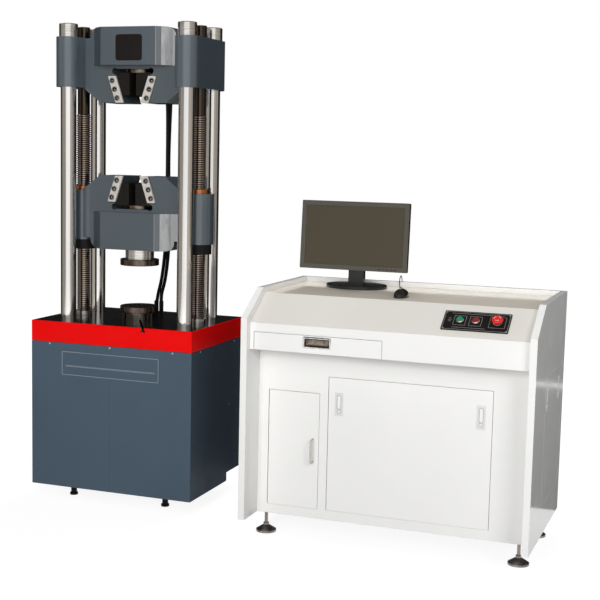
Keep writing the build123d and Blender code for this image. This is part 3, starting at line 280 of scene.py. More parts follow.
# Painted shade: the screw steel turns dark nearer than 26 to 29 mm to each screw's axis, chiefly in the
# grooves between the thread's crests.
bore_x, bore_y = screw_steel.axes()[:2]
from_axis = screw_steel.sum("ABSOLUTE", screw_steel.sum("SUBTRACT", bore_x, AX / 1000), 0)
off_x = screw_steel.sum("SUBTRACT", from_axis, 0.270)
off_y = screw_steel.sum("SUBTRACT", bore_y, AY / 1000)
radius = screw_steel.sum("SQRT", screw_steel.sum(
    "ADD", screw_steel.sum("MULTIPLY", off_x, off_x), screw_steel.sum("MULTIPLY", off_y, off_y)), 0)
screw_steel.shades(screw_steel.spread(radius, 1, 0, 0.0258, 0.0292), None, (0.060, 0.046, 0.036))
strip_steel = metal("strip_steel", (0.50, 0.47, 0.43), (0.66, 0.63, 0.585), (0.3, 0.42), 45, (1, 1, 6), 4)
strip_steel.shader.inputs["Metallic"].default_value = 0.3
jaw_steel = paint("jaw_steel", (0.009, 0.0075, 0.0065), (0.35, 0.5), 0.35, 300, 0.00003,
                  Specular_IOR_Level=0.2)
bronze = metal("bronze", (0.36, 0.11, 0.035), (0.62, 0.24, 0.09), (0.24, 0.36), 55, (0.3, 0.3, 6), 4)
burnished = metal("burnished_steel", (0.075, 0.055, 0.043), (0.20, 0.155, 0.125), (0.16, 0.3), 40,
                  (1, 1, 1), 5)
polished = metal("polished_base", (0.10, 0.085, 0.075), (0.26, 0.23, 0.20), (0.08, 0.14), 40, (1, 1, 0.05), 4)
iron = paint("cylinder_iron", (0.07, 0.07, 0.072), (0.5, 0.65), 0.2, 130, 0.0001)
rubber = paint("black_rubber", (0.008, 0.008, 0.009), (0.45, 0.6), 0.25, 500, 0.00004, 0.0,
               Specular_IOR_Level=0.15)
socket_black = metal("black_oxide", (0.012, 0.012, 0.012), (0.04, 0.04, 0.04), (0.3, 0.4), 200, (1, 1, 1))

white = paint("console_white", (0.84, 0.835, 0.82), (0.10, 0.17), 0.012, 210, 0.00001, 0.0012,
              Specular_IOR_Level=0.4)
cream = paint("console_cream", (0.70, 0.675, 0.63), (0.07, 0.13), 0.015, 180, 0.00001, 0.0012,
              Specular_IOR_Level=0.06)
deck_z = cream.axes()[2]
cream.shades(band(cream, deck_z, 0.9295, 0.9312), None, (0.83, 0.765, 0.665))
plate = paint("control_plate", (0.010, 0.008, 0.008), (0.3, 0.4), 0.2, 700, 0.00001, 0.0004,
              Specular_IOR_Level=0.15)
plate_line = paint("plate_line", (0.42, 0.42, 0.41), (0.35, 0.45), 0.06, 500, 0.00001, 0.0)
green = paint("green_plastic", (0.012, 0.26, 0.12), (0.16, 0.24), 0.10, 400, 0.00001, 0.0006)
dark_red = paint("dark_red_plastic", (0.30, 0.012, 0.016), (0.16, 0.24), 0.10, 400, 0.00001, 0.0006)
red = paint("red_plastic", (0.72, 0.018, 0.014), (0.18, 0.26), 0.08, 400, 0.00001, 0.0006)
trim = metal("bright_trim", (0.55, 0.53, 0.50), (0.86, 0.85, 0.83), (0.08, 0.16), 70, (1, 1, 1), 3)
cup = metal("cup_metal", (0.10, 0.075, 0.055), (0.34, 0.29, 0.24), (0.2, 0.34), 40, (1, 1, 1), 3)
lock_grey = paint("lock_plastic", (0.70, 0.70, 0.70), (0.3, 0.42), 0.02, 600, 0.00001, 0.0006)
lock_line = paint("lock_line", (0.34, 0.34, 0.335), (0.35, 0.45), 0.05, 600, 0.00001, 0.0)
black = paint("black_gloss", (0.010, 0.010, 0.010), (0.12, 0.2), 0.2, 800, 0.00001, 0.0012,
              Specular_IOR_Level=0.5)
bezel = paint("bezel_satin", (0.080, 0.074, 0.063), (0.4, 0.5), 0.06, 900, 0.00001, 0.0008,
              Specular_IOR_Level=0.25)
screen = paint("screen_glass", (0.062, 0.054, 0.036), (0.3, 0.36), 0.02, 1400, 0.000004, 0.0,
               Specular_IOR_Level=0.2)
feet = metal("foot_steel", (0.15, 0.135, 0.12), (0.34, 0.31, 0.29), (0.3, 0.45), 50, (1, 1, 0.4), 4)
feet_x = feet.axes()[0]
feet.shades(feet.spread(feet_x, 1, 0, -0.2, -0.199), None, (0.012, 0.012, 0.013))
screw_white = metal("zinc_screw", (0.55, 0.54, 0.50), (0.8, 0.79, 0.75), (0.25, 0.4), 300, (1, 1, 1))

FINISHES = {
    "machine_paint": casing, "machine_casting": cast, "table_paint": table, "dark_steel": dark_steel,
    "hard_chrome": chrome, "bright_steel": bright, "jaw_steel": jaw_steel, "foot_steel": feet,
    "bronze": bronze, "burnished_steel": burnished, "cylinder_iron": iron, "seal_rubber": rubber,
    "console_white": white, "console_cream": cream, "control_plate": plate, "green_plastic": green,
    "dark_red_plastic": dark_red, "red_plastic": red, "bright_trim": trim, "lock_plastic": lock_grey,
    "black_gloss": black,
}
for part in frame["record"]["subparts"]:
    used = nodes[part["node"]].data.materials
    used.clear()
    used.append(FINISHES[part["material_slot"]].material)
nodes["lower_platen_base"].data.materials[0] = polished.material
nodes["hose_fittings"].data.materials[0] = rubber.material
nodes["door_handle"].data.materials[0] = strip_steel.material
# The side covers take the darker copy of the enamel: painted shade.
for name in ("left_cover", "right_cover"):
    nodes[name].data.materials[0] = casing_painted_shade.material
for name in ("upper_push_plate", "lower_push_plate"):
    nodes[name].data.materials[0] = cup.material


# Mesh building
def piece(name, mesh, finish, body, smooth=35, stands_for=()):
    """Makes a named object from a bmesh, in its finish, riding on its body."""
    bmesh.ops.recalc_face_normals(mesh, faces=mesh.faces)
    data = bpy.data.meshes.new(name)
    mesh.to_mesh(data)
    mesh.free()
    data.polygons.foreach_set("use_smooth", [True] * len(data.polygons))
    data.set_sharp_from_angle(angle=radians(smooth))
    data.materials.append(finish.material)
    made = bpy.data.objects.new(name, data)
    scene.collection.objects.link(made)
    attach(made, body)
    if stands_for:
        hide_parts(*stands_for)
    return made


def loft(mesh, place, loops, caps=True, closed=False):
    """Joins loops of points, each with as many points, into a skin."""
    rows = [[mesh.verts.new(place @ Vector(p)) for p in loop] for loop in loops]
    for a, b in zip(rows, rows[1:] + (rows[:1] if closed else [])):
        for i in range(len(a)):
            j = (i + 1) % len(a)
            mesh.faces.new((a[i], a[j], b[j], b[i]))
    if caps and not closed:
        mesh.faces.new(rows[0])
        mesh.faces.new(rows[-1])


def lathe(mesh, place, profile, segments=32):
    """Turns a profile of radius and height round the place's z axis."""
    rings = []
    for radius, height in profile:
        turns = segments if radius else 1
        angles = [2 * pi * i / segments for i in range(turns)]
        points = [(radius * cos(a), radius * sin(a), height) for a in angles]
        rings.append([mesh.verts.new(place @ Vector(point)) for point in points])
    for a, b in zip(rings, rings[1:]):
        for i in range(segments):
            j = i + 1
            corners = (a[i % len(a)], a[j % len(a)], b[j % len(b)], b[i % len(b)])
            mesh.faces.new(list(dict.fromkeys(corners)))


def rounded(width, height, radius, steps=6, x=0.0, y=0.0):
    """Outline of a rounded rectangle about a point."""
    points = []
    for corner in range(4):
        mid_x = (width / 2 - radius) * (1 if corner in (0, 3) else -1)
        mid_y = (height / 2 - radius) * (1 if corner in (0, 1) else -1)
        for i in range(steps + 1):
            a = (corner + i / steps) * pi / 2
            points.append((x + mid_x + radius * cos(a), y + mid_y + radius * sin(a)))
    return points


def level(outline, z):
    return [(x, y, z) for x, y in outline]


def tablet(mesh, place, width, height, radius, low, high, edge, x=0.0, y=0.0, steps=6):
    """A rounded plate with a bevelled rim."""
    inner = rounded(width - 2 * edge, height - 2 * edge, max(radius - edge, 0.01), steps, x, y)
    outer = rounded(width, height, radius, steps, x, y)
    loft(mesh, place, [level(outer, low), level(outer, high - edge), level(inner, high)])


def hoop(mesh, place, width, height, radius, wall, low, high, x=0.0, y=0.0, steps=6):
    """A flat rounded ring with softened edges."""
    def ring(shrink):
        return rounded(width - 2 * shrink, height - 2 * shrink, max(radius - shrink, 0.01), steps, x, y)
    soft = min(wall, high - low) * 0.25
    loft(mesh, place, [
        level(ring(0), low), level(ring(0), high - soft), level(ring(soft), high),
        level(ring(wall - soft), high), level(ring(wall), high - soft), level(ring(wall), low),
    ], closed=True)


def cap_screw(mesh, place, radius, height, socket, depth):
    """A socket-head screw: a chamfered round head with a hexagon recess."""
    turns = 24
    angles = [2 * pi * i / turns for i in range(turns)]

    def ring(r, z):
        return [(r * cos(a), r * sin(a), z) for a in angles]

    def hexagon(z):
        flats = [socket / cos((a % (pi / 3)) - pi / 6) for a in angles]
        return [(f * cos(a), f * sin(a), z) for f, a in zip(flats, angles)]
    loft(mesh, place, [
        ring(radius, 0), ring(radius, height - 0.8), ring(radius - 0.8, height),
        hexagon(height), hexagon(height - depth)])


# Cords: two hoses behind the load frame, and the mouse's cord
def cord(name, points, diameter, finish, body, node):
    curve = bpy.data.curves.new(name, "CURVE")
    curve.dimensions = "3D"
    curve.bevel_depth = diameter / 2000
    curve.bevel_resolution = 5
    curve.use_fill_caps = True
    spline = curve.splines.new("NURBS")
    spline.points.add(len(points) - 1)
    for knot, point in zip(spline.points, points):
        knot.co = (*point, 1)
    spline.order_u = 3
    spline.use_endpoint_u = True
    curve.materials.append(finish.material)
    made = bpy.data.objects.new(name, curve)
    scene.collection.objects.link(made)
    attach(made, body)
    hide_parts(node)


LEFT_HOSE = [
    (66, 95, 1777), (66, 95, 1731), (67, 116, 1664), (60, 134, 1558), (57, 140, 1405), (56, 142, 1235),
    (51, 147, 1088), (35, 162, 988), (13.5, 188.5, 920), (-9, 216, 872), (-29.5, 230, 821), (-35, 230, 775)]
RIGHT_HOSE = [
    (88, 95, 1777), (88, 95, 1731), (75, 131, 1664), (60, 152, 1558), (53, 158, 1405), (57, 160, 1235),
    (59, 161, 1088), (47, 172.5, 988), (27, 196.5, 920), (5, 224, 872), (-14, 231, 821), (-11, 230, 775)]
MOUSE_CORD = [
    (535, 336, 932.1), (535, 362, 932.1), (525, 414, 932.1), (503, 476, 932.1), (473, 542, 932.1),
    (445, 598, 932.1), (431, 628, 933.1), (428, 642, 946), (427, 650, 966), (427, 664, 975), (427, 679, 966),
    (427, 686, 945), (427, 687, 906), (427, 686, 880), (427, 662, 880)]

for name, route, length in (("left_hose", LEFT_HOSE, 1.034), ("right_hose", RIGHT_HOSE, 1.033)):
    ends = bmesh.new()
    for (x, y, z), out in ((route[0], DOWN), (route[-1], UP)):
        lathe(ends, facing(at_frame(x, y, z), out, FRONT), [
            (7.5, -0.5), (9.6, 0), (9.8, 3), (9.2, 4), (9.8, 5), (9.8, 9), (9.2, 10), (9.8, 11), (9.8, 15),
            (9.2, 16), (9.8, 17), (9.6, 22), (8.0, 24), (7.4, 24)], 24)
    ferrules = piece(name + "_ferrules", ends, rubber, "lifting_frame")
    points = [at_frame(*p) for p in route]
    cord(name + "_cord", points, 15, rubber, "lifting_frame", name)
points = [at_console(*p) for p in MOUSE_CORD]
cord("mouse_lead", points, 3.6, rubber, "base", "mouse_cord")


# Lead screws with their threads
PITCH, CREST, ROOT = 9.0, 30.0, 25.2
THREAD_FROM, THREAD_TO, SCREW_LOW, SCREW_TOP = 640.0, 1600.0, 101.3, 1967.0


def lead_screw(name, x):
    mesh = bmesh.new()
    place = facing(at_frame(x, 0, 0), UP, BACK)
    lathe(mesh, place, [
        (0, SCREW_LOW), (20, SCREW_LOW), (20, 121.3), (30, 121.3), (30, 135), (60, 135), (60, 155), (30, 155),
        (CREST, THREAD_FROM), (0, THREAD_FROM)], 40)
    lathe(mesh, place, [
        (0, THREAD_TO), (CREST, THREAD_TO), (26, THREAD_TO + 4), (26, SCREW_TOP - 2), (24, SCREW_TOP),
        (0, SCREW_TOP)], 40)
    turns, around = ceil((THREAD_TO - THREAD_FROM) / PITCH), 28
    rows = []
    for step in range(-1, turns + 1):
        for share, radius in ((0.0, ROOT), (0.36, ROOT), (0.46, CREST), (0.90, CREST)):
            row = []
            for i in range(around + 1):
                a = 2 * pi * i / around
                z = THREAD_FROM + PITCH * (step + share + i / around)
                z = min(max(z, THREAD_FROM), THREAD_TO)
                row.append(mesh.verts.new(place @ Vector((radius * cos(a), radius * sin(a), z))))
            rows.append(row)
    for a, b in zip(rows, rows[1:]):
        for i in range(around):
            mesh.faces.new((a[i], a[i + 1], b[i + 1], b[i]))
    bmesh.ops.remove_doubles(mesh, verts=mesh.verts, dist=0.00002)
    bmesh.ops.dissolve_degenerate(mesh, dist=0.00002, edges=mesh.edges)
    piece(name + "_thread", mesh, screw_steel, name, 40, [name])


lead_screw("left_screw", -270)
lead_screw("right_screw", 270)


# Strips that hold the jaws, with a rounded outer corner: round each a dark seat, painted shadow of the gap
# round it, and screws on dark discs, painted shade of their counterbores, each with a painted glint in its
# socket
STRIP_SLOPE, STRIP_IN, STRIP_OUT, STRIP_LONG, SCREW_IN = 0.3307, 38.5, 75.0, 109.0, 61.0


def slanting(side, rise, grow, corner):
    """Outline of one strip, grown by a margin, with its far outer corner rounded."""
    near_in, near_out = STRIP_IN - grow, STRIP_OUT + grow
    lean = STRIP_LONG * STRIP_SLOPE
    points = [(near_in, 0), (near_out, 0)]
    far = Vector((near_out + lean, STRIP_LONG + grow))
    before, after = far - Vector((STRIP_SLOPE, 1)).normalized() * corner, far - Vector((corner, 0))
    for i in range(7):
        t = i / 6
        points.append(tuple((1 - t) ** 2 * before + 2 * t * (1 - t) * far + t * t * after))
    points.append((near_in + lean, STRIP_LONG + grow))
    return [(side * x, rise * y) for x, y in points]


for name, mouth, rise, body in (
        ("upper", 1652, 1, "lifting_frame"), ("lower", 1352, -1, "middle_crosshead")):
    strips, seat_shadows, screws, socket_glints = (bmesh.new() for _ in range(4))
    for out, y in ((FRONT, -BEAM_FACE), (BACK, BEAM_FACE)):
        face = facing(at_frame(0, y, mouth), out)
        for side in (-1, 1):
            # Painted shadow: a dark seat a little larger than the strip.
            loft(seat_shadows, face, [level(slanting(side, rise, 2.4, 11), z) for z in (-0.2, 0.5)])
            edges = ((0, 0), (0, 8.2), (-0.8, 9))
            loft(strips, face, [level(slanting(side, rise, grow, 9), z) for grow, z in edges])
            for depth in (19, 54.5, 90):
                hole = face @ Matrix.Translation((side * (SCREW_IN + depth * STRIP_SLOPE), rise * depth, 9))
                # Painted shade: a dark disc round each head stands for its counterbore.
                lathe(screws, hole, [
                    (11.6, -0.2), (11.6, 0.25), (10.2, 0.35), (9.8, 0.1), (9.6, -0.1), (0, -0.1)], 28)
                cap_screw(screws, hole, 8.8, 1.6, 4.8, 1.4)
                # Painted glint: a small bright disc set off the centre of each socket.
                lathe(socket_glints, hole @ Matrix.Translation((1.0, -1.0, 0.2)), [
                    (3.2, 0), (3.2, 0.5), (2.6, 0.8), (0, 0.4)], 12)
    piece(name + "_strips", strips, strip_steel, body, 30, [name + "_jaw_strips"])
    # The dark seats are painted shadow, the bright discs in the sockets painted glints.
    piece(name + "_strip_seat_shadows", seat_shadows, black, body)
    piece(name + "_strip_screws", screws, socket_black, body)
    piece(name + "_strip_socket_glints", socket_glints, bright, body)

# Toothed faces of the four jaws
for name, side, low in (
        ("upper_left_jaw", 1, 1682), ("upper_right_jaw", -1, 1682), ("lower_left_jaw", 1, 1229.3),
        ("lower_right_jaw", -1, 1229.3)):
    mesh = bmesh.new()
    place = facing(at_frame(-side * 15, 0, low + 46.35), RIGHT * side)
    across, along, pitch = 17, 11, 5.0
    tablet(mesh, place, across * pitch * 1.3 + 4, along * pitch * 1.5 + 6, 1.0, -0.2, 0.4, 0.2, steps=1)
    for i in range(across):
        for j in range(along):
            x = (i - (across - 1) / 2) * pitch * 1.3
            y = (j - (along - 1) / 2) * pitch * 1.5
            w, h = pitch * 0.62, pitch * 0.7
            base = [mesh.verts.new(place @ Vector((x + a * w, y + b * h, 0.4))) for a, b in
                    ((-1, -1), (1, -1), (1, 1), (-1, 1))]
            tip = mesh.verts.new(place @ Vector((x, y, 1.2)))
            for k in range(4):
                mesh.faces.new((base[k], base[(k + 1) % 4], tip))
    piece(name + "_teeth", mesh, jaw_steel, name, 20)

# Platens with turned rings in their faces
RINGS = (18, 32, 46, 60, 72)


def platen(name, place, thickness, body, node):
    mesh = bmesh.new()
    profile = [(0, 0), (80, 0), (81.5, 1.5), (81.5, thickness - 1.5), (80, thickness)]
    for ring in reversed(RINGS):
        profile += [(ring + 0.7, thickness), (ring, thickness - 0.7), (ring - 0.7, thickness)]
    profile += [(4, thickness), (3, thickness - 1), (0, thickness - 1)]
    lathe(mesh, place, profile, 96)
    piece(name, mesh, burnished, body, 25, [node])


on_table, under_head = facing(at_frame(0, 0, 778), UP, BACK), facing(at_frame(0, 0, 1003), DOWN, BACK)
platen("lower_platen_turned", on_table, 26, "lifting_frame", "lower_platen")
platen("upper_platen_turned", under_head, 26, "middle_crosshead", "upper_platen")

# Screws that hold the covers of the base
mesh = bmesh.new()
for x in (-280, 0, 283):
    for out, y in ((FRONT, -COVER_FRONT), (BACK, COVER_FRONT)):
        cap_screw(mesh, facing(at_frame(x, y, 656), out), 3.9, 2.2, 1.5, 1.4)
for y, z in ((-174, 656), (171, 656), (127, 389), (-174, 389)):
    for out, x in ((RIGHT, COVER_SIDE), (LEFT, -COVER_SIDE)):
        if (out, z) != (RIGHT, 389) or y > 0:
            cap_screw(mesh, facing(at_frame(x, y, z), out), 3.8, 2.0, 1.5, 1.3)
piece("cover_screws", mesh, screw_white, "base")

# Bare nameplate on the front cover, and bare badge on the upper nose
name_place = facing(at_frame(-0.5, -COVER_FRONT, 578.5), FRONT)
mesh = bmesh.new()
tablet(mesh, name_place, 451, 105, 5, -0.1, 0.8, 0.3)
piece("nameplate", mesh, casing, "base")
mesh = bmesh.new()
hoop(mesh, name_place, 443, 97, 3, 1.6, 0.7, 1.2)
for x, y, length in ((0, -9, 410), (0, -12.5, 410)):
    tablet(mesh, name_place, length, 1.2, 0.5, 0.7, 1.1, 0.1, x, y, 2)
name_line = paint("nameplate_line", (0.33, 0.37, 0.40), (0.4, 0.5), 0.05, 500, 0.00001, 0.0)
piece("nameplate_border", mesh, name_line, "base")

badge_place = facing(at_frame(4, -NOSE_FACE, 1873), FRONT)
mesh = bmesh.new()
tablet(mesh, badge_place, 120, 105, 12, -0.1, 1.6, 0.5)
piece("nose_badge", mesh, plate, "lifting_frame")
mesh = bmesh.new()
hoop(mesh, badge_place, 116, 101, 10, 2.4, 1.5, 2.1)
piece("nose_badge_border", mesh, plate, "lifting_frame")

# Control plate: border, fields, corner screws and the buttons' bezels
slope_out = Vector((0, -sin(SLOPE), cos(SLOPE)))
slope_up = Vector((0, cos(SLOPE), sin(SLOPE)))


def on_plate(x, up, out=3.0):
    return facing(at_slope(x, up, out), slope_out, slope_up)


BUTTON_UP, GREEN_X, RED_X, STOP_X = 88, 804, 861, 940
mesh = bmesh.new()
hoop(mesh, on_plate(864, 85), 234, 94, 3, 0.9, -0.05, 0.25)
hoop(mesh, on_plate(GREEN_X, 86), 44, 50, 2, 0.8, -0.05, 0.25)
hoop(mesh, on_plate(RED_X, 86), 44, 50, 2, 0.8, -0.05, 0.25)
hoop(mesh, on_plate(STOP_X, 86), 58, 58, 2, 0.8, -0.05, 0.25)
for x, up, length in ((864, 123, 190), (840, 49, 120), (767, 80, 10), (767, 88, 14), (767, 96, 10)):
    tablet(mesh, on_plate(x, up), length, 0.9, 0.4, -0.05, 0.25, 0.1, 0, 0, 2)
piece("plate_lines", mesh, plate_line, "base")
mesh = bmesh.new()
for x in (751, 977):
    for up in (42, 128):
        cap_screw(mesh, on_plate(x, up), 3.4, 1.8, 1.3, 1.2)
for x, radius, high in ((GREEN_X, 15.2, 5.0), (RED_X, 15.2, 5.0), (STOP_X, 17.0, 3.4)):
    lathe(mesh, on_plate(x, BUTTON_UP), [
        (11.4, -0.1), (radius, -0.1), (radius, high * 0.44), (radius - 0.9, high * 0.68), (12.6, high),
        (11.8, high), (11.4, high - 0.6), (11.4, -0.1)], 40)
piece("button_bezels", mesh, trim, "base")


def button(name, x, finish):
    mesh = bmesh.new()
    lathe(mesh, on_plate(x, BUTTON_UP, 0), [
        (0, -24), (11, -24), (11, 9.6), (10.4, 11), (9.2, 11.6), (8.6, 11.2), (6, 11.7), (3, 11.95),
        (0, 12)], 40)
    piece(name + "_cap", mesh, finish, name, 30, [name])


button("green_button", GREEN_X, green)
button("red_button", RED_X, dark_red)
mesh = bmesh.new()
mushroom = on_plate(STOP_X, BUTTON_UP, 0)
lathe(mesh, mushroom, [
    (0, -24), (11, -24), (11, 12), (18.5, 12), (20.2, 13.2), (20.5, 15), (20.1, 18), (18.6, 20.6), (16, 22.2),
    (15, 22.4), (14.4, 22.0), (8, 23.3), (0, 24)], 48)
piece("stop_mushroom", mesh, red, "emergency_stop", 30, ["emergency_stop"])
mesh = bmesh.new()
for start in (0, 120, 240):
    arc = [radians(start + 6 * i) for i in range(13)]
    rows = []
    for i, a in enumerate(arc):
        wide = 1.0 if i < 9 else 2.6 * (12 - i) / 3 + 0.15
        near, far, tilt = 11.2 - wide, 11.2 + wide, 0.16 * wide
        rows.append([(r * cos(a), r * sin(a), z) for r, z in (
            (near, 22.6), (far, 22.0), (far, 23.0 - tilt), (near, 23.0 + tilt))])
    loft(mesh, mushroom, rows)
piece("stop_arrows", mesh, plate_line, "emergency_stop")


# Drawer pull: a bright frame, bevelled both ways, round a dark cup
pull = facing(at_console(289.5, BAND_Y, 770.9), FRONT)
mesh = bmesh.new()
loft(mesh, pull, [level(rounded(110 - 2 * s, 43 - 2 * s, max(7 - s, 0.5)), z) for s, z in (
    (0, -0.1), (0, 0.5), (0.3, 0.8), (3.4, 3.8), (4.0, 4.0), (4.6, 3.8), (7.7, 1.2), (8, 0.9), (8, -0.1))],
     closed=True)
piece("drawer_pull_frame", mesh, trim, "drawer", 30, ["drawer_pull"])
mesh = bmesh.new()
loft(mesh, pull, [level(rounded(w, h, r), z) for w, h, r, z in (
    (95, 28, 2, 2.4), (93, 26, 3, 1.0), (90, 23, 4, -4.0), (87, 20, 5, -6.6), (80, 13, 5, -7.4))], caps=False)
mesh.faces.new([mesh.verts.new(pull @ Vector(p)) for p in level(rounded(80, 13, 5), -7.4)])
piece("drawer_pull_cup", mesh, cup, "drawer", 40)


# Paddle locks: white paddles and key cylinders, each in a darker groove
def lock_trim(paddles, grooves, place):
    key = place @ Matrix.Translation((0, -27, 0))
    hoop(grooves, place, 17, 56, 8.5, 2.2, -0.2, 0.4, 0, 8)
    tablet(paddles, place, 13, 52, 6.5, -0.2, 1.0, 0.5, 0, 8)
    lathe(grooves, key, [(8.6, -0.2), (8.6, 0.4), (6.6, 0.4), (6.6, -0.2), (8.6, -0.2)], 28)
    lathe(paddles, key, [(6.8, -0.2), (6.8, 0.8), (6.2, 1.2), (2.0, 1.2), (1.8, 0.2), (0, 0.2)], 28)
    lathe(grooves, key, [(0, 0.1), (1.8, 0.1), (1.8, 0.4), (1.5, 0.5), (0, 0.5)], 12)


for name, x in (("left_lock", 348), ("right_lock", 888)):
    paddles, grooves = bmesh.new(), bmesh.new()
    lock_trim(paddles, grooves, facing(at_console(x, PANEL_Y, 529), FRONT))
    piece(name + "_trim", paddles, white, name)
    piece(name + "_grooves", grooves, lock_line, name)
plates, paddles, grooves = (bmesh.new() for _ in range(3))
for y, z in ((283, 590), (551, 590)):
    place = facing(at_console(CHEEK_X, y, z), RIGHT)
    tablet(plates, place, 31, 86, 3, -0.2, 1.0, 0.4)
    lock_trim(paddles, grooves, place @ Matrix.Translation((0, 0, 1)))
piece("side_panel_locks", plates, lock_grey, "side_panel")
piece("side_panel_paddles", paddles, white, "side_panel")
piece("side_panel_grooves", grooves, lock_line, "side_panel")

# Monitor: bezel, screen, keys and lamp, leaning back with the head
LEAN, HEAD_X, HEAD_FRONT, HEAD_BACK, HEAD_MID = radians(4.5), 282, 470, 492, 1136
head_turn = Matrix.Rotation(-LEAN, 4, "X")
pin = at_console(HEAD_X, 525, 1120)


def on_head(x, y, z, out=FRONT):
    """A place on the leaning monitor, from its middle across, its depth and its height."""
    upright = facing(at_console(HEAD_X + x, y, z), out)
    return Matrix.Translation(pin) @ head_turn @ Matrix.Translation(-pin) @ upright


mesh = bmesh.new()
face = on_head(0, HEAD_FRONT, HEAD_MID)
hoop(mesh, face, 445.6, 272.6, 3.2, 19.0, -2.3, 0.5, steps=4)
piece("monitor_bezel", mesh, bezel, "monitor_head")
mesh = bmesh.new()
tablet(mesh, face, 407.4, 234.4, 0.5, -2.6, -1.2, 0.3, steps=2)
piece("monitor_screen", mesh, screen, "monitor_head")
mesh = bmesh.new()
for x in (112, 128, 144, 160, 176):
    tablet(mesh, on_head(x, HEAD_FRONT, HEAD_MID - 127.5), 9, 3.2, 1.4, 0.3, 1.3, 0.4, steps=3)
piece("monitor_keys", mesh, dark_steel, "monitor_head")
mesh = bmesh.new()
lathe(mesh, on_head(152, HEAD_FRONT, HEAD_MID - 121), [(1.3, 0.3), (1.3, 0.9), (0.8, 1.2), (0, 1.3)], 16)
piece("monitor_lamp", mesh, red, "monitor_head")
mesh = bmesh.new()
for i in range(22):
    for z in (1222, 1064):
        tablet(mesh, on_head(-105 + 10 * i, HEAD_BACK, z, BACK), 3.2, 22, 1.5, -0.1, 1.2, 0.4, steps=3)
piece("monitor_vents", mesh, dark_steel, "monitor_head")

# Mouse: a domed shell with a split between its keys, and a wheel
mesh = bmesh.new()
LONG, WIDE = 36, 24
MOUSE_X, MOUSE_Y = 535, 285
grid = []
for i in range(LONG + 1):
    u = -1 + 2 * i / LONG
    row = []
    for j in range(WIDE + 1):
        v = -1 + 2 * j / WIDE
        a = v * sqrt(max(0.0, 1 - 0.5 * u * u))
        b = u * sqrt(max(0.0, 1 - 0.5 * v * v))
        reach = min(1.0, sqrt(a * a + b * b))
        waist = 1 - 0.10 * (1 - b * b)
        height = 30 * (1 - reach ** 3.2) ** 0.5 * (0.92 + 0.08 * cos(1.6 * (b + 0.25)))
        height = min(height, 29.6)
        if b > 0.05 and abs(a) < 0.045 and reach < 0.97:
            height -= 1.2
        row.append(mesh.verts.new(at_console(MOUSE_X + 30 * a * waist, MOUSE_Y + 51 * b, 931.2 + height)))
    grid.append(row)
for i in range(LONG):
    for j in range(WIDE):
        mesh.faces.new((grid[i][j], grid[i][j + 1], grid[i + 1][j + 1], grid[i + 1][j]))
rim = grid[0][:-1] + [row[-1] for row in grid[:-1]] + grid[-1][:0:-1] + [row[0] for row in grid[:0:-1]]
sole = [mesh.verts.new((v.co.x, v.co.y, 0.93)) for v in rim]
for i in range(len(rim)):
    j = (i + 1) % len(rim)
    mesh.faces.new((rim[i], rim[j], sole[j], sole[i]))
mesh.faces.new(sole)
piece("mouse_shell", mesh, black, "base", 50, ["mouse"])
mesh = bmesh.new()
lathe(mesh, facing(at_console(MOUSE_X, MOUSE_Y + 22, 952.2), RIGHT), [
    (0, -3), (8, -3), (9, -2.2), (8.8, -1), (9, 0), (8.8, 1), (9, 2.2), (8, 3), (0, 3)], 28)
piece("mouse_wheel", mesh, rubber, "base")
mesh = bmesh.new()
lathe(mesh, facing(at_console(MOUSE_X, MOUSE_Y + 48, 932.3), BACK), [
    (0, 0), (3.6, 0), (3.6, 3), (3.1, 4), (3.4, 5), (2.9, 6.5), (3.1, 7.5), (2.5, 10), (2.0, 15), (1.8, 16),
    (0, 16)], 20)
piece("mouse_relief", mesh, rubber, "base")


# Floor, backdrop and light
def show(made, base):
    """Strength for rays that see the background itself: base for the light that falls on things, else 1."""
    path = made.nodes.new("ShaderNodeLightPath")
    total = path.outputs["Is Camera Ray"]
    for name in ("Is Glossy Ray", "Is Transmission Ray"):
        add = made.nodes.new("ShaderNodeMath")
        add.operation, add.use_clamp = "ADD", True
        made.links.new(total, add.inputs[0])
        made.links.new(path.outputs[name], add.inputs[1])
        total = add.outputs[0]
    ramp = made.nodes.new("ShaderNodeMapRange")
    ramp.inputs[3].default_value, ramp.inputs[4].default_value = base
    made.links.new(total, ramp.inputs[0])
    return ramp.outputs[0]


world = bpy.data.worlds.new("studio")
scene.world = world
world.use_nodes = True
sky = world.node_tree.nodes["Background"]
sky.inputs[0].default_value = (1, 1, 1, 1)
world.node_tree.links.new(show(world.node_tree, (0.055, 1.0)), sky.inputs[1])

ground = bmesh.new()
for x, y in ((-15, -15), (15, -15), (15, 15), (-15, 15)):
    ground.verts.new((x, y, 0))
ground.faces.new(ground.verts)
ground_data = bpy.data.meshes.new("floor")
ground.to_mesh(ground_data)
ground.free()
floor = bpy.data.objects.new("floor", ground_data)
scene.collection.objects.link(floor)
floor_material = bpy.data.materials.new("pale_floor")
floor_material.use_nodes = True
tree = floor_material.node_tree
tree.nodes.remove(tree.nodes["Principled BSDF"])
matt, glow, both = (tree.nodes.new("ShaderNode" + kind) for kind in ("BsdfDiffuse", "Emission", "AddShader"))
matt.inputs[0].default_value = (0.17, 0.17, 0.17, 1)
tree.links.new(show(tree, (0.0, 1.0)), glow.inputs["Strength"])
place, reach, shade = (tree.nodes.new("ShaderNode" + kind) for kind in ("TexCoord", "VectorMath", "MapRange"))
reach.operation = "LENGTH"
for i, number in enumerate((1.6, 3.6, 0.90, 1.0)):
    shade.inputs[i + 1].default_value = number
tree.links.new(place.outputs["Object"], reach.inputs[0])
tree.links.new(reach.outputs["Value"], shade.inputs[0])
tree.links.new(shade.outputs[0], glow.inputs["Color"])
tree.links.new(matt.outputs[0], both.inputs[0])
tree.links.new(glow.outputs[0], both.inputs[1])
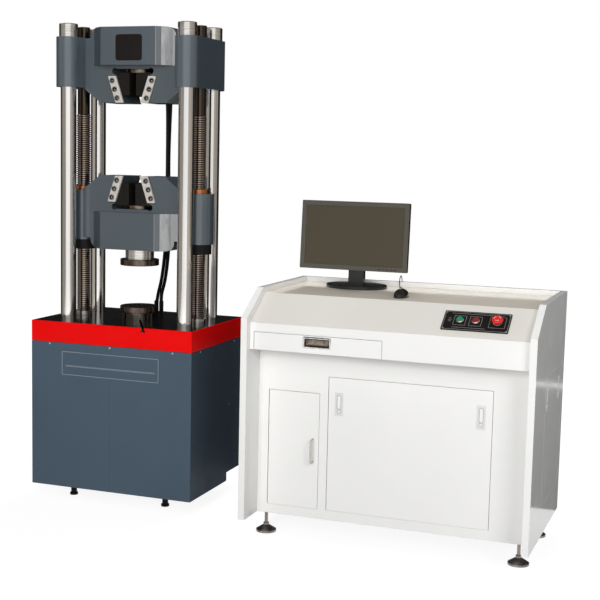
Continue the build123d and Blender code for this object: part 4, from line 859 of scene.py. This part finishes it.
tree.links.new(both.outputs[0], tree.nodes["Material Output"].inputs["Surface"])
ground_data.materials.append(floor_material)


def lamp(name, place, target, size, power, spread=180):
    data = bpy.data.lights.new(name, "AREA")
    data.shape, data.size, data.size_y = "RECTANGLE", size[0], size[1]
    data.energy, data.spread = power, radians(spread)
    made = bpy.data.objects.new(name, data)
    made.location = place
    made.rotation_euler = (Vector(target) - Vector(place)).to_track_quat("-Z", "Y").to_euler()
    made.visible_glossy = False
    scene.collection.objects.link(made)


lamp("key", (3.4, -3.6, 2.7), (-0.1, 0, 0.9), (1.8, 2.2), 94)
lamp("fill", (0.6, -6.0, 1.9), (0.0, 0, 0.9), (3.0, 3.0), 250)
lamp("overhead", (-0.3, 1.3, 3.6), (0.0, 0.1, 0.9), (1.4, 1.6), 46)
lamp("top", (-0.3, -2.7, 3.0), (-0.7, 0, 1.85), (0.8, 0.8), 2.5, 50)
lamp("right", (2.7, 0.3, 1.3), (1.06, 0, 0.7), (1.0, 0.8), 10)
lamp("left", (-3.8, -0.8, 1.5), (-0.5, 0, 0.8), (1.2, 1.4), 36)
lamp("behind", (-0.55, 5.2, 3.0), (0.0, 0, 0.9), (0.8, 2.4), 150)


# Cards that only mirrors show: they shade the bright metal as a room does
def card(name, corners, glow, colour=(1, 1, 1)):
    mesh = bmesh.new()
    mesh.faces.new([mesh.verts.new(corner) for corner in corners])
    data = bpy.data.meshes.new(name)
    mesh.to_mesh(data)
    mesh.free()
    made = bpy.data.objects.new(name, data)
    scene.collection.objects.link(made)
    material = bpy.data.materials.new(name)
    material.use_nodes = True
    shader = material.node_tree.nodes["Principled BSDF"]
    shader.inputs["Base Color"].default_value = (0, 0, 0, 1)
    shader.inputs["Specular IOR Level"].default_value = 0.0
    shader.inputs["Emission Color"].default_value = (*colour, 1)
    shader.inputs["Emission Strength"].default_value = glow
    data.materials.append(material)
    for ray in ("camera", "diffuse", "transmission", "shadow", "volume_scatter"):
        setattr(made, "visible_" + ray, False)


def wall(name, start, end, low, high, glow, colour=(1, 1, 1)):
    card(name, [(*start, low), (*end, low), (*end, high), (*start, high)], glow, colour)


BROWN = (1.0, 0.9, 0.8)
wall("back_card", (-7, 3.4), (7, 3.4), 0.02, 5, 0.02)
wall("left_card", (-5.5, -1.5), (-5.5, 3.3), 0.02, 5, 0.05)
wall("left_front_card", (-2.3, -7.5), (-5.5, -1.5), 0.02, 5, 0.36, BROWN)
wall("right_card", (4.2, -3.8), (5.0, -0.5), 0.02, 5, 0.44, BROWN)
wall("right_back_card", (5.0, -0.5), (5.2, 3.3), 0.02, 5, 0.36, BROWN)
card("ceiling_card", [(-4, -4, 5.5), (5, -4, 5.5), (5, 3.3, 5.5), (-4, 3.3, 5.5)], 0.16, BROWN)
card("floor_card", [(-3.5, 0.5, 0.012), (4.5, 0.5, 0.012), (4.5, 3.3, 0.012), (-3.5, 3.3, 0.012)], 0.05)
